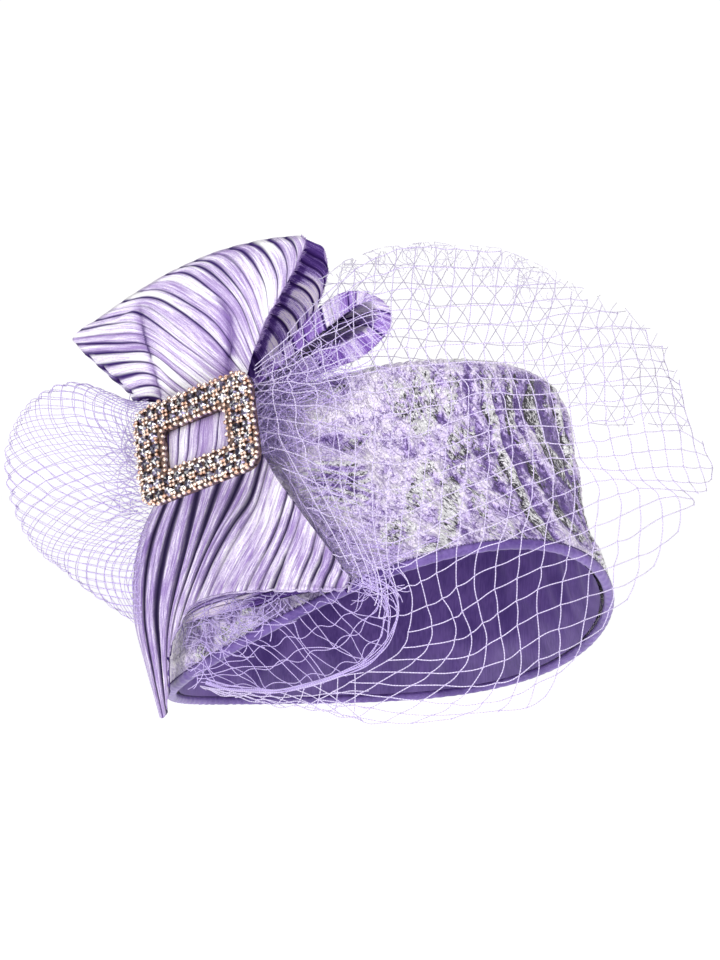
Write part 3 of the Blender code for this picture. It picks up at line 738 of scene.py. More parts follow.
# ---------------------------------------------------------------- lining
lv, lf, lkind, lang, llev, lsh = crown_surface(96, 64, 0.6, 3.9, 3.3)
l_out = outward(lang, llev, lsh)
gather = 0.75 * np.sin(lang * 31 + 3.4 * noise(lv / 46.0, 71)) * (1 - lkind) + 0.8 * noise(lv / np.array([12.0, 12.0, 34.0]), 72)
gather = gather * smooth(2.0, 16.0, llev) + lkind * 0.5 * np.sin(lang * 44) * smooth(0.25, 0.8, lsh)
LINING_CLOTH = mesh_object("lining_cloth", (lv - l_out * (0.6 + gather * 0.9)[:, None]) @ LEAN.T, lf[:, ::-1], LINING)
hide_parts("lining")

# ---------------------------------------------------------------- binding and its stitches
RING = 900
ring_angle = 2 * math.pi * np.arange(RING) / RING
centre = crown_point(ring_angle, np.zeros(RING), np.ones(RING), 1.2)
centre[:, 2] = -ARCH * np.cos(2 * ring_angle)
out_ring = outward(ring_angle, np.zeros(RING), np.ones(RING))
around = 2 * math.pi * np.arange(16) / 16
pull = 1 + 0.035 * np.sin(ring_angle * 118 + np.array(around)[:, None] * 1.0) + 0.05 * flat_noise(ring_angle * 60, around[:, None] * 0.8, 81)
tube = centre[None] + 2.05 * pull[..., None] * (np.cos(around)[:, None, None] * out_ring[None] + np.sin(around)[:, None, None] * np.array([0, 0, 1.0]))
tube = np.transpose(tube, (1, 0, 2))
bq = grid_faces(RING, 16, True)
k = np.arange(16)
last = (RING - 1) * 16
bq = np.r_[bq, np.stack([last + k, last + (k + 1) % 16, (k + 1) % 16, k], -1)]
RIM = mesh_object("binding_cloth", tube.reshape(-1, 3) @ LEAN.T, bq, BINDING)
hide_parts("rim_binding")

stitches = []
count = 330
for n in range(count):
    a = 2 * math.pi * (n + 0.12 * math.sin(n * 2.4)) / count
    c = crown_point(np.array([a]), np.zeros(1), np.ones(1), 1.2)[0]
    c[2] = -ARCH * math.cos(2 * a)
    o_ = outward(np.array([a]), np.zeros(1), np.ones(1))[0]
    along = np.array([-math.sin(a) * HALF_W, math.cos(a) * HALF_L, 0.0])
    along /= np.linalg.norm(along)
    line = []
    for q in np.linspace(-0.1, 1.0, 5):
        e = math.radians(38 + 52 * q)
        line.append(c + (2.14 + 0.12 * math.sin(math.pi * max(q, 0))) * (o_ * math.cos(e) + np.array([0, 0, 1.0]) * math.sin(e)) + along * (0.35 * q))
    stitches.append(np.array(line) @ LEAN.T)
STITCHES = tubes("binding_stitches", stitches, 0.20, STITCH, 5)

# ---------------------------------------------------------------- pleated cloth
SPREAD = np.array([0.0, 0.03, 0.07, 0.13, 0.21, 0.30, 0.39, 0.48, 0.57, 0.66, 0.75, 0.83, 0.90, 0.95, 0.975])


def pleat_columns(count, first=0.0):
    s = np.concatenate([i + SPREAD for i in range(count)] + [[float(count)]])
    return s + first


def pleat_height(s, t, spacing, seed, depth=0.62, width=0.44, lean=0.25, swell=0.12, strong=0.62, taper=0.0, second=0.0):
    """(height in mm, groove 0 to 1, shade 0 to 1) across pleats; s counts the grooves, t runs 0 to 1 along them. The
    groove is painted shade in the fold lines; the shade is painted light and shade, with a random tone band by band.
    """
    near_line, band = np.round(s), np.floor(s)
    gap = (s - near_line) * spacing
    line_no = near_line.astype(np.int64)
    pick, size = lattice_hash(line_no, line_no * 0, line_no * 0, seed), lattice_hash(line_no, line_no * 0 + 3, line_no * 0, seed)
    own = np.where(pick < strong, 0.80 + 0.35 * size, 0.12 + 0.30 * size) * (1 - second * (line_no % 2))
    along = flat_noise(near_line * 5.7 + 0.5, t * 2.0 + near_line * 1.9, seed + 1)
    force = np.clip(own * (1 + 0.75 * along), 0.04, 1.25)
    w = width * (0.34 + 0.86 * force) * (1 + taper * (1 - smooth(0.05, 0.6, t)))
    frac = s - band
    round_ = 1 - (2 * frac - 1) ** 4
    ribs = 0.55 * flat_noise(s * 3.4 + 0.3, t * 1.3, seed + 2) + 0.45 * flat_noise(s * 8.3 + 0.7, t * 2.6, seed + 3)
    height = swell * round_ + lean * (0.5 - frac) * np.clip(0.3 + 0.7 * force, 0, 1) - depth * np.minimum(force, 1.0) * np.exp(-np.abs(gap / w) ** 1.8) + 0.30 * ribs * round_
    height = height * (0.3 + 0.7 * smooth(0.0, 0.05, t))
    # painted shade along the fold lines, strongest on the strong grooves
    groove = np.clip(1.9 * force - 0.30, 0, 1) * np.exp(-np.abs(gap / w) ** 3.0)
    # painted shade on each band's low side before its groove and painted light on the ribs' tops, over a random tone
    # band by band
    shade = 0.5 + 0.50 * flat_noise(band * 5.13 + 0.4, t * 1.7 + band * 2.7, seed + 5) + 0.45 * ribs - 0.34 * smooth(0.78, 1.0, frac) * np.clip(force, 0, 1)
    return height, np.clip(groove, 0, 1), np.clip(shade, 0, 1)


def pleated(name, base, s, t, spacing, seed, material, node=None, wall=0.4, turn=1.0, inner=None, dim=None, lines=None, **shape):
    """Cloth over a grid of base points (columns across the pleats, rows along them). 'inner' is the other side's
    material; 'dim' adds painted light and shade, and 'lines' paints shade along more fold lines.
    """
    S, T = np.meshgrid(s, t, indexing="ij")
    h, groove, shade = pleat_height(S, T, spacing, seed, **shape)
    normal = grid_normals(base) * turn
    p = base + normal * h[..., None]
    step = np.linalg.norm(np.diff(base, axis=1), axis=-1)
    run = np.concatenate([np.zeros((len(s), 1)), np.cumsum(step, axis=1)], axis=1)
    st = np.stack([S * 6.0, run, np.zeros_like(S)], -1)
    if dim is not None:
        shade = np.clip(shade + dim, 0, 1)
    if lines is not None:
        groove = np.maximum(groove, lines)
    faces = grid_faces(len(s), len(t))
    faces = faces[:, ::-1] if turn > 0 else faces
    o = mesh_object(name, p.reshape(-1, 3), faces, material, {"st": st.reshape(-1, 3), "groove": groove.ravel(), "shade": shade.ravel()})
    if wall:
        m = thickened(o, wall)
        if inner is not None:
            o.data.materials.append(inner)
            m.material_offset = 1
    if node:
        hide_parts(node)
    return o, p


def lined(lines, columns, rows):
    """A grid from lines of (x, y) squares: columns are places between lines, rows even steps along them."""
    even = np.stack([even_curve(line, rows) for line in lines])
    w = spline_weights(len(lines), columns)
    return np.einsum("ab,bcd->acd", w, even)


FAN_RAILS = [
    # front base, front middle, front end, fold, back end, back middle, back base
    [(152, 421, 40), (118, 386, 43), (80, 346, 33), (72, 340, 30), (80, 347, 27), (119, 387, 38), (153, 422, 36)],
    [(168, 414, 43), (147, 368, 48), (116, 320, 40), (105, 312, 34), (112, 322, 29), (146, 370, 37), (168, 415, 38)],
    [(187, 407, 47), (177, 343, 53), (166, 285, 47), (158, 275, 40), (164, 287, 32), (177, 345, 38), (188, 408, 41)],
    [(206, 401, 51), (208, 322, 58), (213, 264, 56), (212, 251, 47), (217, 264, 37), (213, 325, 42), (207, 402, 45)],
    [(223, 396, 56), (238, 312, 63), (259, 254, 64), (266, 240, 53), (274, 254, 41), (250, 318, 44), (225, 397, 50)],
    [(240, 391, 61), (263, 335, 68), (290, 262, 72), (309, 237, 60), (326, 268, 47), (300, 332, 48), (244, 392, 55)],
]
FAN_LINES = [
    # each groove of the front layer, from the outer fold to the buckle or the free edge
    [(133, 400), (149, 397), (160, 399), (166, 404), (172, 410)],
    [(126, 391), (144, 386), (158, 387), (168, 394), (182, 405)],
    [(112, 379), (140, 373), (157, 377), (171, 388), (190, 403)],
    [(98, 366), (128, 362), (153, 364), (172, 380), (199, 401)],
    [(85, 354), (122, 352), (150, 353), (176, 372), (207, 399)],
    [(76, 344), (115, 343), (147, 345), (180, 368), (215, 396)],
    [(73, 338), (110, 334), (145, 336), (185, 364), (223, 394)],
    [(80, 330), (112, 324), (142, 325), (188, 357), (231, 391)],
    [(95, 321), (120, 315), (141, 314), (188, 348), (238, 386)],
    [(108, 312), (135, 306), (155, 311), (200, 347), (243, 384)],
    [(122, 302), (148, 297), (172, 306), (210, 335), (246, 377)],
    [(137, 292), (160, 290), (186, 302), (218, 326), (248, 371)],
    [(152, 283), (173, 281), (198, 294), (226, 318), (250, 363)],
    [(165, 275), (185, 273), (206, 286), (232, 311), (252, 355)],
    [(179, 268), (198, 266), (218, 279), (240, 305), (256, 346)],
    [(194, 261), (211, 262), (228, 276), (246, 301), (260, 336)],
    [(211, 254), (226, 256), (240, 269), (254, 293), (264, 325)],
    [(229, 248), (242, 251), (254, 264), (265, 286), (269, 314)],
    [(249, 243), (260, 248), (270, 260), (277, 278), (277, 301)],
    [(268, 239), (276, 244), (283, 253), (287, 267), (286, 284)],
    [(285, 237), (291, 241), (295, 247), (297, 256), (296, 266)],
    [(300, 236), (303, 238), (305, 241), (305, 244), (304, 248)],
]
FAN_BACK_ENDS = [
    (176, 408), (184, 406), (192, 403), (199, 401), (206, 399), (213, 396), (220, 394), (226, 391), (232, 388), (240, 386),
    (250, 382), (260, 375), (270, 367), (280, 357), (289, 348), (298, 338), (306, 327), (313, 315), (319, 302), (324, 288), (327, 272), (324, 252),
]
front_depth = depth_from(FAN_RAILS, 0.0, 0.36)
back_depth = depth_from(FAN_RAILS, 0.64, 1.0)
fold_depth = depth_from(FAN_RAILS, 0.46, 0.54, 13, 3)
columns = pleat_columns(21)
front = lined(FAN_LINES, columns, 94)
back_lines = []
for line, end in zip(FAN_LINES, FAN_BACK_ENDS):
    a, e = np.array(line[0], float), np.array(end, float)
    bow = np.array([e[1] - a[1], a[0] - e[0]]) * (0.08 + 0.05 * smooth(230, 300, e[0]))
    back_lines.append([a, a + (e - a) * 0.3 + bow * 0.3, a + (e - a) * 0.6 + bow * 0.7, a + (e - a) * 0.8 + bow, a + (e - a) * 0.93 + bow * 0.72, e])
behind = lined(back_lines, columns, 48)
f3 = front_depth(front[..., 0], front[..., 1])
b3 = back_depth(behind[..., 0], behind[..., 1])
edge3 = fold_depth(front[:, 0, 0], front[:, 0, 1])[:, None]


def rolled(line_depth, xy, edge, reach):
    """Depth that turns over at the fold within 'reach' mm of it."""
    run = np.concatenate([np.zeros((len(xy), 1)), np.cumsum(np.linalg.norm(np.diff(xy, axis=1), axis=-1), axis=1)], axis=1) * SQUARE
    k = np.clip(run / reach, 0, 1)
    k = np.sqrt(np.clip(1 - (1 - k) ** 2, 0, 1))
    return edge + (line_depth - edge) * k


f3 = rolled(f3, front, edge3, 3.0)
b3 = rolled(b3, behind, edge3, 3.0)
# two soft creases across the front layer
cx, cy = front[..., 0], front[..., 1]
crease1 = np.interp(cy, [285, 307, 337, 360, 395], [136, 141, 146, 153, 162])
left_of = crease1 - cx
f3 = f3 - 3.4 * smooth(-1.5, 1.5, left_of) * np.exp(-np.maximum(left_of, 0) / 16.0) * smooth(298, 314, cy) + 1.0 * np.exp(-((left_of + 8) / 7.0) ** 2) * smooth(298, 314, cy)
crease2 = np.interp(cy, [280, 291, 300, 316, 336, 361, 385], [206, 215, 221, 230, 232, 230, 229])
f3 = f3 - 3.4 * np.exp(-((cx - crease2) / 4.0) ** 2) * smooth(286, 306, cy) + 1.8 * np.exp(-((cx - crease2 + 14) / 9.0) ** 2) * smooth(286, 306, cy)
xy = np.concatenate([behind[:, :0:-1], front], axis=1)
dd = np.concatenate([b3[:, :0:-1], f3], axis=1)
base = sheet(xy[..., 0], xy[..., 1], dd)
rows_t = np.concatenate([np.linspace(0.6, 0, 48)[:-1], np.linspace(0, 1, 94)])
turn = 1.0 if (grid_normals(base)[150, 100] @ BACK) > 0 else -1.0
mouth = xy[..., 0] - np.interp(xy[..., 1], [240, 248, 266, 284, 301, 314, 325, 336, 346, 355, 363, 372], [308, 304, 296, 286, 277, 269, 264, 260, 256, 252, 250, 248])
# painted shade inside the mouth: the back layer dark close to the front layer's free edge and along the top, lighter
# away from that edge, and darker again far from it
fan_dim = -0.62 + 0.86 * smooth(6, 14, mouth + 2.0 * flat_noise(xy[..., 0] / 7, xy[..., 1] / 7, 105)) - 0.75 * (1 - smooth(256, 292, xy[..., 1])) - 0.25 * smooth(28, 48, mouth)
# painted shade along the front layer's two creases, and a dark line painted into each crease's fold
crease_dim = -0.40 * np.exp(-((left_of - 2.5) / 4.0) ** 2) * smooth(298, 316, cy) - 0.45 * np.exp(-((cx - crease2) / 3.2) ** 2) * smooth(290, 312, cy) - 0.35 * np.exp(-((cx - crease2 + 6) / 8.0) ** 2) * smooth(300, 330, cy)
crease_line = 0.9 * np.exp(-np.abs((left_of - 0.8) / 1.3) ** 2.5) * smooth(306, 318, cy) * smooth(-0.35, 0.25, flat_noise(cy / 14, cy * 0, 103) + 0.2)
crease_line = np.maximum(crease_line, 0.8 * np.exp(-np.abs((cx - crease2 - 0.5) / 1.2) ** 2.5) * smooth(312, 335, cy) * smooth(-0.3, 0.3, flat_noise(cy / 11, cy * 0 + 3, 104)))
fan_dim = np.concatenate([fan_dim[:, :47], crease_dim], axis=1)
fan_lines = np.concatenate([np.zeros_like(fan_dim[:, :47]), crease_line], axis=1)
FAN, fan_points = pleated("bow_fan_cloth", base, columns, rows_t, 5.4, 101, BOW, "bow_fan", turn=turn, inner=BOW_SHADED, dim=fan_dim, lines=fan_lines, taper=1.1, strong=0.72)

# back loop: its far end is drawn nearly shut
BACK_LOOP = [
    # far end drawn shut, then towards the mouth, the mouth's edge, and its turned-out rim
    [(236, 402, 26), (276, 372, 26), (306, 345, 27), (326, 328, 26), (334, 322, 24), (327, 328, 25), (307, 345, 26), (277, 372, 25), (237, 402, 25)],
    [(240, 402, 34), (278, 370, 36), (314, 338, 37), (340, 318, 37), (350, 313, 37), (354, 322, 35), (338, 338, 34), (304, 356, 34), (246, 407, 33)],
    [(240, 400, 44), (280, 366, 47), (320, 332, 49), (350, 309, 50), (364, 306, 50), (370, 320, 48), (348, 339, 46), (308, 357, 44), (247, 408, 43)],
    [(241, 399, 52), (283, 363, 56), (321, 331, 60), (351, 308, 64), (370, 301, 65), (377, 320, 62), (352, 341, 59), (310, 358, 55), (250, 409, 49)],
    [(240, 396, 50), (280, 352, 54), (316, 310, 58), (350, 291, 62), (384, 302, 62), (390, 327, 60), (363, 356, 58), (323, 374, 54), (254, 416, 47)],
]
loop_columns = pleat_columns(30)
loop_t = np.concatenate([np.linspace(0, 0.74, 26)[:-1], np.linspace(0.74, 1.0, 20)])
loop = railed(BACK_LOOP, loop_t, loop_columns / 30.0)
loop = np.transpose(loop, (1, 0, 2))
base = sheet(loop[..., 0], loop[..., 1], loop[..., 2])
# painted shade: the loop darker towards its mouth and turned-out rim, and where both walls run in to the knot
loop_dim = (0.10 - 0.25 * smooth(0.66, 0.80, loop_t))[None] - 0.25 * (1 - smooth(2.0, 8.0, loop_columns) * (1 - smooth(21.0, 28.0, loop_columns)))[:, None]
LOOP, loop_points = pleated("bow_back_loop_cloth", base, loop_columns, loop_t, 3.6, 111, BOW_LOOP_INSIDE_LIT, "bow_back_loop", turn=-1.0, inner=BOW_LOOP_SHADED, dim=loop_dim, depth=0.5, width=0.26, lean=0.15, strong=0.5)

# tail
TAIL_RAILS = [
    [(160, 492, 50), (138, 545, 35), (133, 610, 28), (147, 672, 25), (160, 716, 25)],
    [(170, 488, 52), (152, 548, 36), (147, 612, 29), (155, 672, 26), (163, 717, 25)],
    [(181, 484, 54), (167, 545, 38), (160, 600, 31), (163, 655, 27), (167, 713, 26)],
    [(193, 479, 57), (183, 535, 43), (173, 585, 37), (168, 622, 32), (168, 662, 29)],
    [(208, 473, 60), (202, 520, 50), (196, 560, 46), (190, 590, 42), (184, 617, 38)],
    [(224, 466, 63), (227, 505, 58), (231, 540, 61), (234, 567, 64), (236, 590, 67)],
    [(243, 459, 67), (256, 495, 66), (271, 530, 74), (284, 561, 82), (296, 589, 89)],
    [(262, 452, 71), (283, 485, 76), (305, 520, 81), (330, 552, 91), (352, 583, 99)],
]
TAIL_LINES = [
    [(160, 492), (138, 545), (133, 610), (147, 672), (160, 717)],
    [(172, 487), (150, 548), (144, 612), (153, 672), (163, 718)],
    [(186, 482), (166, 545), (156, 605), (160, 660), (166, 713)],
    [(201, 476), (185, 545), (172, 600), (167, 640), (168, 692)],
    [(225, 465), (207, 515), (188, 572), (175, 615), (169, 657)],
    [(250, 455), (232, 497), (208, 545), (190, 590), (179, 624)],
    [(262, 455), (250, 497), (230, 527), (212, 560), (195, 603)],
    [(274, 474), (261, 515), (247, 543), (232, 570), (220, 594)],
    [(287, 493), (277, 525), (266, 550), (254, 572), (245, 591)],
    [(301, 512), (294, 535), (285, 556), (277, 575), (271, 590)],
    [(316, 532), (311, 552), (305, 566), (300, 578), (296, 590)],
    [(334, 556), (330, 568), (326, 576), (323, 584), (321, 590)],
    [(351, 579), (350, 582), (349, 584), (348, 587), (347, 589)],
]
tail_depth = depth_from(TAIL_RAILS, 0.0, 1.0, 15, 9)
TAIL_SPREAD = np.array([0.0, 0.05, 0.12, 0.25, 0.41, 0.58, 0.75, 0.88, 0.955])
tail_pleats = np.concatenate([i + TAIL_SPREAD for i in range(24)] + [[24.0]])
tail_columns = tail_pleats / 2
tail = lined(TAIL_LINES, tail_columns, 130)
t3 = tail_depth(tail[..., 0], tail[..., 1])
S_, T_ = np.meshgrid(tail_columns, np.linspace(0, 1, 130), indexing="ij")
t3 = t3 - 7.0 * (1 - smooth(0.0, 0.9, S_)) ** 2                      # the left edge turns under
t3 = t3 + 1.4 * np.exp(-((T_ - 0.97) / 0.05) ** 2) * smooth(5, 7, S_)  # the hem curls out a little
base = sheet(tail[..., 0], tail[..., 1], t3)
turn = 1.0 if (grid_normals(base)[80, 60] @ BACK) > 0 else -1.0
# painted shade on the tail's left part, where it turns under, and a little over the rest, with random patches
tail_dim = -0.45 * (1 - smooth(1.5, 6.5, S_)) - 0.14 + 0.16 * flat_noise(S_ * 2.0, T_ * 3.0, 122)
TAIL, tail_points = pleated("bow_tail_cloth", base, tail_pleats, np.linspace(0, 1, 130), 3.3, 121, BOW_TAIL, "bow_tail", turn=turn, inner=BOW_SHADED, dim=tail_dim, depth=1.4, width=0.62 + 0.75 * (1 - smooth(9.0, 15.0, tail_pleats))[:, None], lean=0.35, swell=0.25, strong=0.93, second=(0.30 + 0.60 * (1 - smooth(9.0, 15.0, tail_pleats)))[:, None])

UNDER_RAILS = [
    [(185, 606, 30), (183, 615, 29), (185, 624, 28)],
    [(200, 584, 42), (203, 601, 42), (208, 617, 42)],
    [(234, 566, 58), (240, 588, 60), (245, 609, 62)],
    [(280, 558, 74), (284, 577, 76), (288, 596, 78)],
    [(322, 560, 86), (330, 574, 89), (338, 587, 92)],
]
under_columns = pleat_columns(9)
under = np.transpose(railed(UNDER_RAILS, np.linspace(0, 1, 90), under_columns / 9.0), (1, 0, 2))
base = sheet(under[..., 0], under[..., 1], under[..., 2])
turn = 1.0 if (grid_normals(base)[60, 45] @ BACK) > 0 else -1.0
# painted shade: the underside dark past its middle, towards the right
under_dim = np.broadcast_to((0.22 - 0.85 * smooth(0.46, 0.66, np.linspace(0, 1, 90)))[None], base.shape[:2])
UNDER, under_points = pleated("bow_tail_under_cloth", base, under_columns, np.linspace(0, 1, 90), 2.4, 131, BOW_SHADED, "bow_tail_under", turn=turn, dim=under_dim, depth=0.7, width=0.30, lean=0.1, strong=0.9)

# cords and fibres along the cut edges
fringe, cords = [], []
rng = np.random.default_rng(5)


def fray(points, count_, length, away):
    """Short loose fibres along an edge; 'away' points out of the cloth."""
    at = rng.uniform(0, len(points) - 1.001, count_)
    i = at.astype(int)
    p = points[i] + (points[i + 1] - points[i]) * (at - i)[:, None]
    for q in p:
        way = unit(away + rng.normal(0, 0.55, 3))
        bend = rng.normal(0, 0.3, 3)
        ln = length * rng.uniform(0.35, 1.0)
        fringe.append(np.stack([q - way * 0.3, q + way * ln * 0.5 + bend * 0.15, q + way * ln + bend * 0.6]))


fray(fan_points[columns > 13.4][:, -1], 420, 2.0, RIGHT * 0.7 + UP * 0.35 + BACK * 0.2)
fray(fan_points[columns > 16][:, 0], 120, 1.1, RIGHT * 0.9 + UP * 0.3)
fray(fan_points[-1, 50:], 60, 1.0, RIGHT * 0.5 + UP * 0.8)
fray(loop_points[:, -1], 260, 1.3, RIGHT * 0.5 + BACK * 0.6)
fray(tail_points[tail_columns > 4.5][:, -1], 200, 0.9, -UP)
edge = tail_points[-1]
cords.append(edge + RIGHT * 0.30 + BACK * 0.35)
cords.append(tail_points[tail_columns > 4.5][:, -1] - UP * 0.30 + BACK * 0.35)
FRINGE = tubes("bow_cut_edges", fringe, 0.075, BOW, 3, attributes=False)
CORDS = tubes("bow_rolled_edges", cords, 0.42, CORD, 8, twist=lambda line: np.arange(len(line)) * 0.9)

# ---------------------------------------------------------------- buckle
RISE, YAW, TIP = math.radians(18.6), math.radians(35.6), math.radians(14.8)
FACE = (BACK * math.cos(YAW) - RIGHT * math.sin(YAW)) * math.cos(TIP) + UP * math.sin(TIP)
ALONG = RIGHT * math.cos(YAW) + BACK * math.sin(YAW)
LONG = ALONG * math.cos(RISE) + np.cross(FACE, ALONG) * math.sin(RISE)
SHORT = np.cross(FACE, LONG)
SEAT = sheet(197.5, 439.5, 66.0)


def on_buckle(p):
    p = np.asarray(p, float)
    return SEAT + p[..., :1] * LONG + p[..., 1:2] * SHORT + p[..., 2:3] * FACE


PITCH, HALF_T = 4.86, 1.5
BUCKLE_HALF, WINDOW_HALF = (27.2, 19.7), (15.2, 8.5)
rng = np.random.default_rng(7)


def stone(radius, height, sides=8):
    """A round brilliant: table, star and girdle facets, with its underside open to the setting."""
    a = 2 * math.pi * np.arange(sides) / sides
    table = np.stack([0.55 * radius * np.cos(a), 0.55 * radius * np.sin(a), np.full(sides, height)], -1)
    girdle = np.stack([radius * np.cos(a + math.pi / sides), radius * np.sin(a + math.pi / sides), np.full(sides, height * 0.30)], -1)
    base_ = np.stack([0.86 * radius * np.cos(a), 0.86 * radius * np.sin(a), np.zeros(sides)], -1)
    v = np.concatenate([table, girdle, base_, [[0, 0, height]]])
    f = []
    for k in range(sides):
        m = (k + 1) % sides
        f += [[24, k, m], [k, sides + k, m], [m, sides + k, sides + m], [sides + k, 16 + k, 16 + m], [sides + k, 16 + m, sides + m]]
    return v, np.array(f)


sv, sf, st_facet, start = [], [], [], 0
for i in range(11):
    for j in range(8):
        if 2 <= i <= 8 and 2 <= j <= 5:
            continue
        v, f = stone(PITCH * 0.46, 1.3)
        a = rng.uniform(0, math.pi / 4)
        tilt = rng.normal(0, 0.07, 2)
        c, s_ = math.cos(a), math.sin(a)
        v = np.stack([v[:, 0] * c - v[:, 1] * s_, v[:, 0] * s_ + v[:, 1] * c, v[:, 2] + v[:, 0] * tilt[0] + v[:, 1] * tilt[1]], -1)
        v = v + np.array([(i - 5) * PITCH, (j - 3.5) * PITCH, HALF_T - 0.15])
        # every facet gets its own corners, so that it can carry its own tone, as painted sparkle or dark reflection
        for tri in f:
            sv.append(v[tri])
            tone = rng.random()
            st_facet += [tone ** 1.25] * 3
            sf.append([start, start + 1, start + 2])
            start += 3
STONES = mesh_object("buckle_stones", on_buckle(np.concatenate(sv)), np.array(sf), JEWEL, {"facet": np.array(st_facet)}, soft=False)


def bead(rings_=5, sides=8):
    v, f = [[0, 0, 1.0]], []
    for r in range(1, rings_):
        e = math.pi * 0.5 * (1 - 1.35 * r / (rings_ - 1))
        v += [[math.cos(e) * math.cos(2 * math.pi * k / sides), math.cos(e) * math.sin(2 * math.pi * k / sides), math.sin(e)] for k in range(sides)]
    for k in range(sides):
        f.append([0, 1 + k, 1 + (k + 1) % sides])
    q = [[1 + r * sides + k, 1 + (r + 1) * sides + k, 1 + (r + 1) * sides + (k + 1) % sides, 1 + r * sides + (k + 1) % sides] for r in range(rings_ - 2) for k in range(sides)]
    return np.array(v, float), np.array(f), np.array(q)


bv, bt, bq = bead()
pv, pt, pq, start = [], [], [], 0


def add_bead(px, py, pz, size):
    global start
    pv.append(bv * np.array([size, size, size * 1.2]) + np.array([px, py, pz]))
    pt.append(bt + start)
    pq.append(bq + start)
    start += len(bv)


def corner_in(px, py):
    """Draws a point in from the frame's rounded corners."""
    qx, qy = abs(px) - (BUCKLE_HALF[0] - 6.0), abs(py) - (BUCKLE_HALF[1] - 6.0)
    if qx > 0 and qy > 0 and math.hypot(qx, qy) > 6.0:
        k = 6.0 / math.hypot(qx, qy)
        return math.copysign(BUCKLE_HALF[0] - 6.0 + qx * k, px), math.copysign(BUCKLE_HALF[1] - 6.0 + qy * k, py)
    return px, py


for i in range(12):
    for j in range(9):
        if 3 <= i <= 8 and 3 <= j <= 5:
            continue
        cx_, cy_ = (i - 5.5) * PITCH, (j - 4) * PITCH
        for dx, dy in ((-0.62, -0.62), (0.62, 0.62), (-0.62, 0.62), (0.62, -0.62)):
            # four claws stand round each corner, one for each stone that meets there
            ii, jj = i - (dx < 0), j - (dy < 0)
            if not (0 <= ii <= 10 and 0 <= jj <= 7) or (2 <= ii <= 8 and 2 <= jj <= 5):
                continue
            px, py = corner_in(cx_ + dx * 1.25 + rng.normal(0, 0.07), cy_ + dy * 1.25 + rng.normal(0, 0.07))
            add_bead(px, py, HALF_T + 0.75 + 0.3 * rng.random(), 0.74 + 0.12 * rng.random())
# beads along the outer and the inner rim, two to a stone, standing proud of it
for half_l, half_w, grow in ((BUCKLE_HALF[0], BUCKLE_HALF[1], 0.2), (WINDOW_HALF[0], WINDOW_HALF[1], -0.2)):
    for k in range(int(round(2 * half_l / 2.43)) + 1):
        at = -half_l + k * 2 * half_l / round(2 * half_l / 2.43)
        for sign in (-1, 1):
            px, py = at + rng.normal(0, 0.12), sign * (half_w + grow + 0.5 * (k % 2))
            px, py = corner_in(px, py) if grow > 0 else (px, py)
            add_bead(px, py, HALF_T - 0.35 + 0.9 * rng.random(), 0.86 + 0.16 * rng.random())
    for k in range(1, int(round(2 * half_w / 2.43))):
        at = -half_w + k * 2 * half_w / round(2 * half_w / 2.43)
        for sign in (-1, 1):
            px, py = sign * (half_l + grow + 0.5 * (k % 2)), at + rng.normal(0, 0.12)
            px, py = corner_in(px, py) if grow > 0 else (px, py)
            add_bead(px, py, HALF_T - 0.35 + 0.9 * rng.random(), 0.86 + 0.16 * rng.random())
PRONGS = mesh_object("buckle_prongs", on_buckle(np.concatenate(pv)), [np.concatenate(pt), np.concatenate(pq)], PRONG)
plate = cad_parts["buckle"]
plate.data.materials.clear()
plate.data.materials.append(SETTING)

# the satin band that shows in the buckle's window, wrapped round the knot
KA, KB, KC = 21.0, 13.6, 4.4
knot_columns = pleat_columns(9)
phi = np.linspace(0, 2 * math.pi, 73)
SK, PK = np.meshgrid(knot_columns, phi, indexing="ij")
along_k = (SK / 9.0 * 2 - 1) * 0.9999
lean_k = 0.24 * np.cos(PK) - 0.07 * np.cos(2 * PK)
u_k = np.clip(along_k + lean_k * (1 - along_k ** 2), -0.9999, 0.9999)
belly = (1 - np.abs(u_k) ** 3.2) ** (1 / 3.2)
ck, sk_ = np.cos(PK), np.sin(PK)
kp = np.stack([KA * u_k, KB * belly * np.sign(ck) * np.abs(ck) ** 0.75, KC * belly * np.sign(sk_) * np.abs(sk_) ** 0.75 - (HALF_T + 0.4 + 4.2) + 0.4], -1)
base = on_buckle(kp)
turn = 1.0 if (grid_normals(base)[60, 18] @ FACE) > 0 else -1.0
KNOT, _ = pleated("bow_knot_cloth", base, knot_columns, np.linspace(0, 1, 73), 4.2, 141, BOW, "bow_knot", wall=0, turn=turn, dim=np.full(base.shape[:2], -0.22), depth=0.9, width=0.32, lean=0.3, strong=0.7)

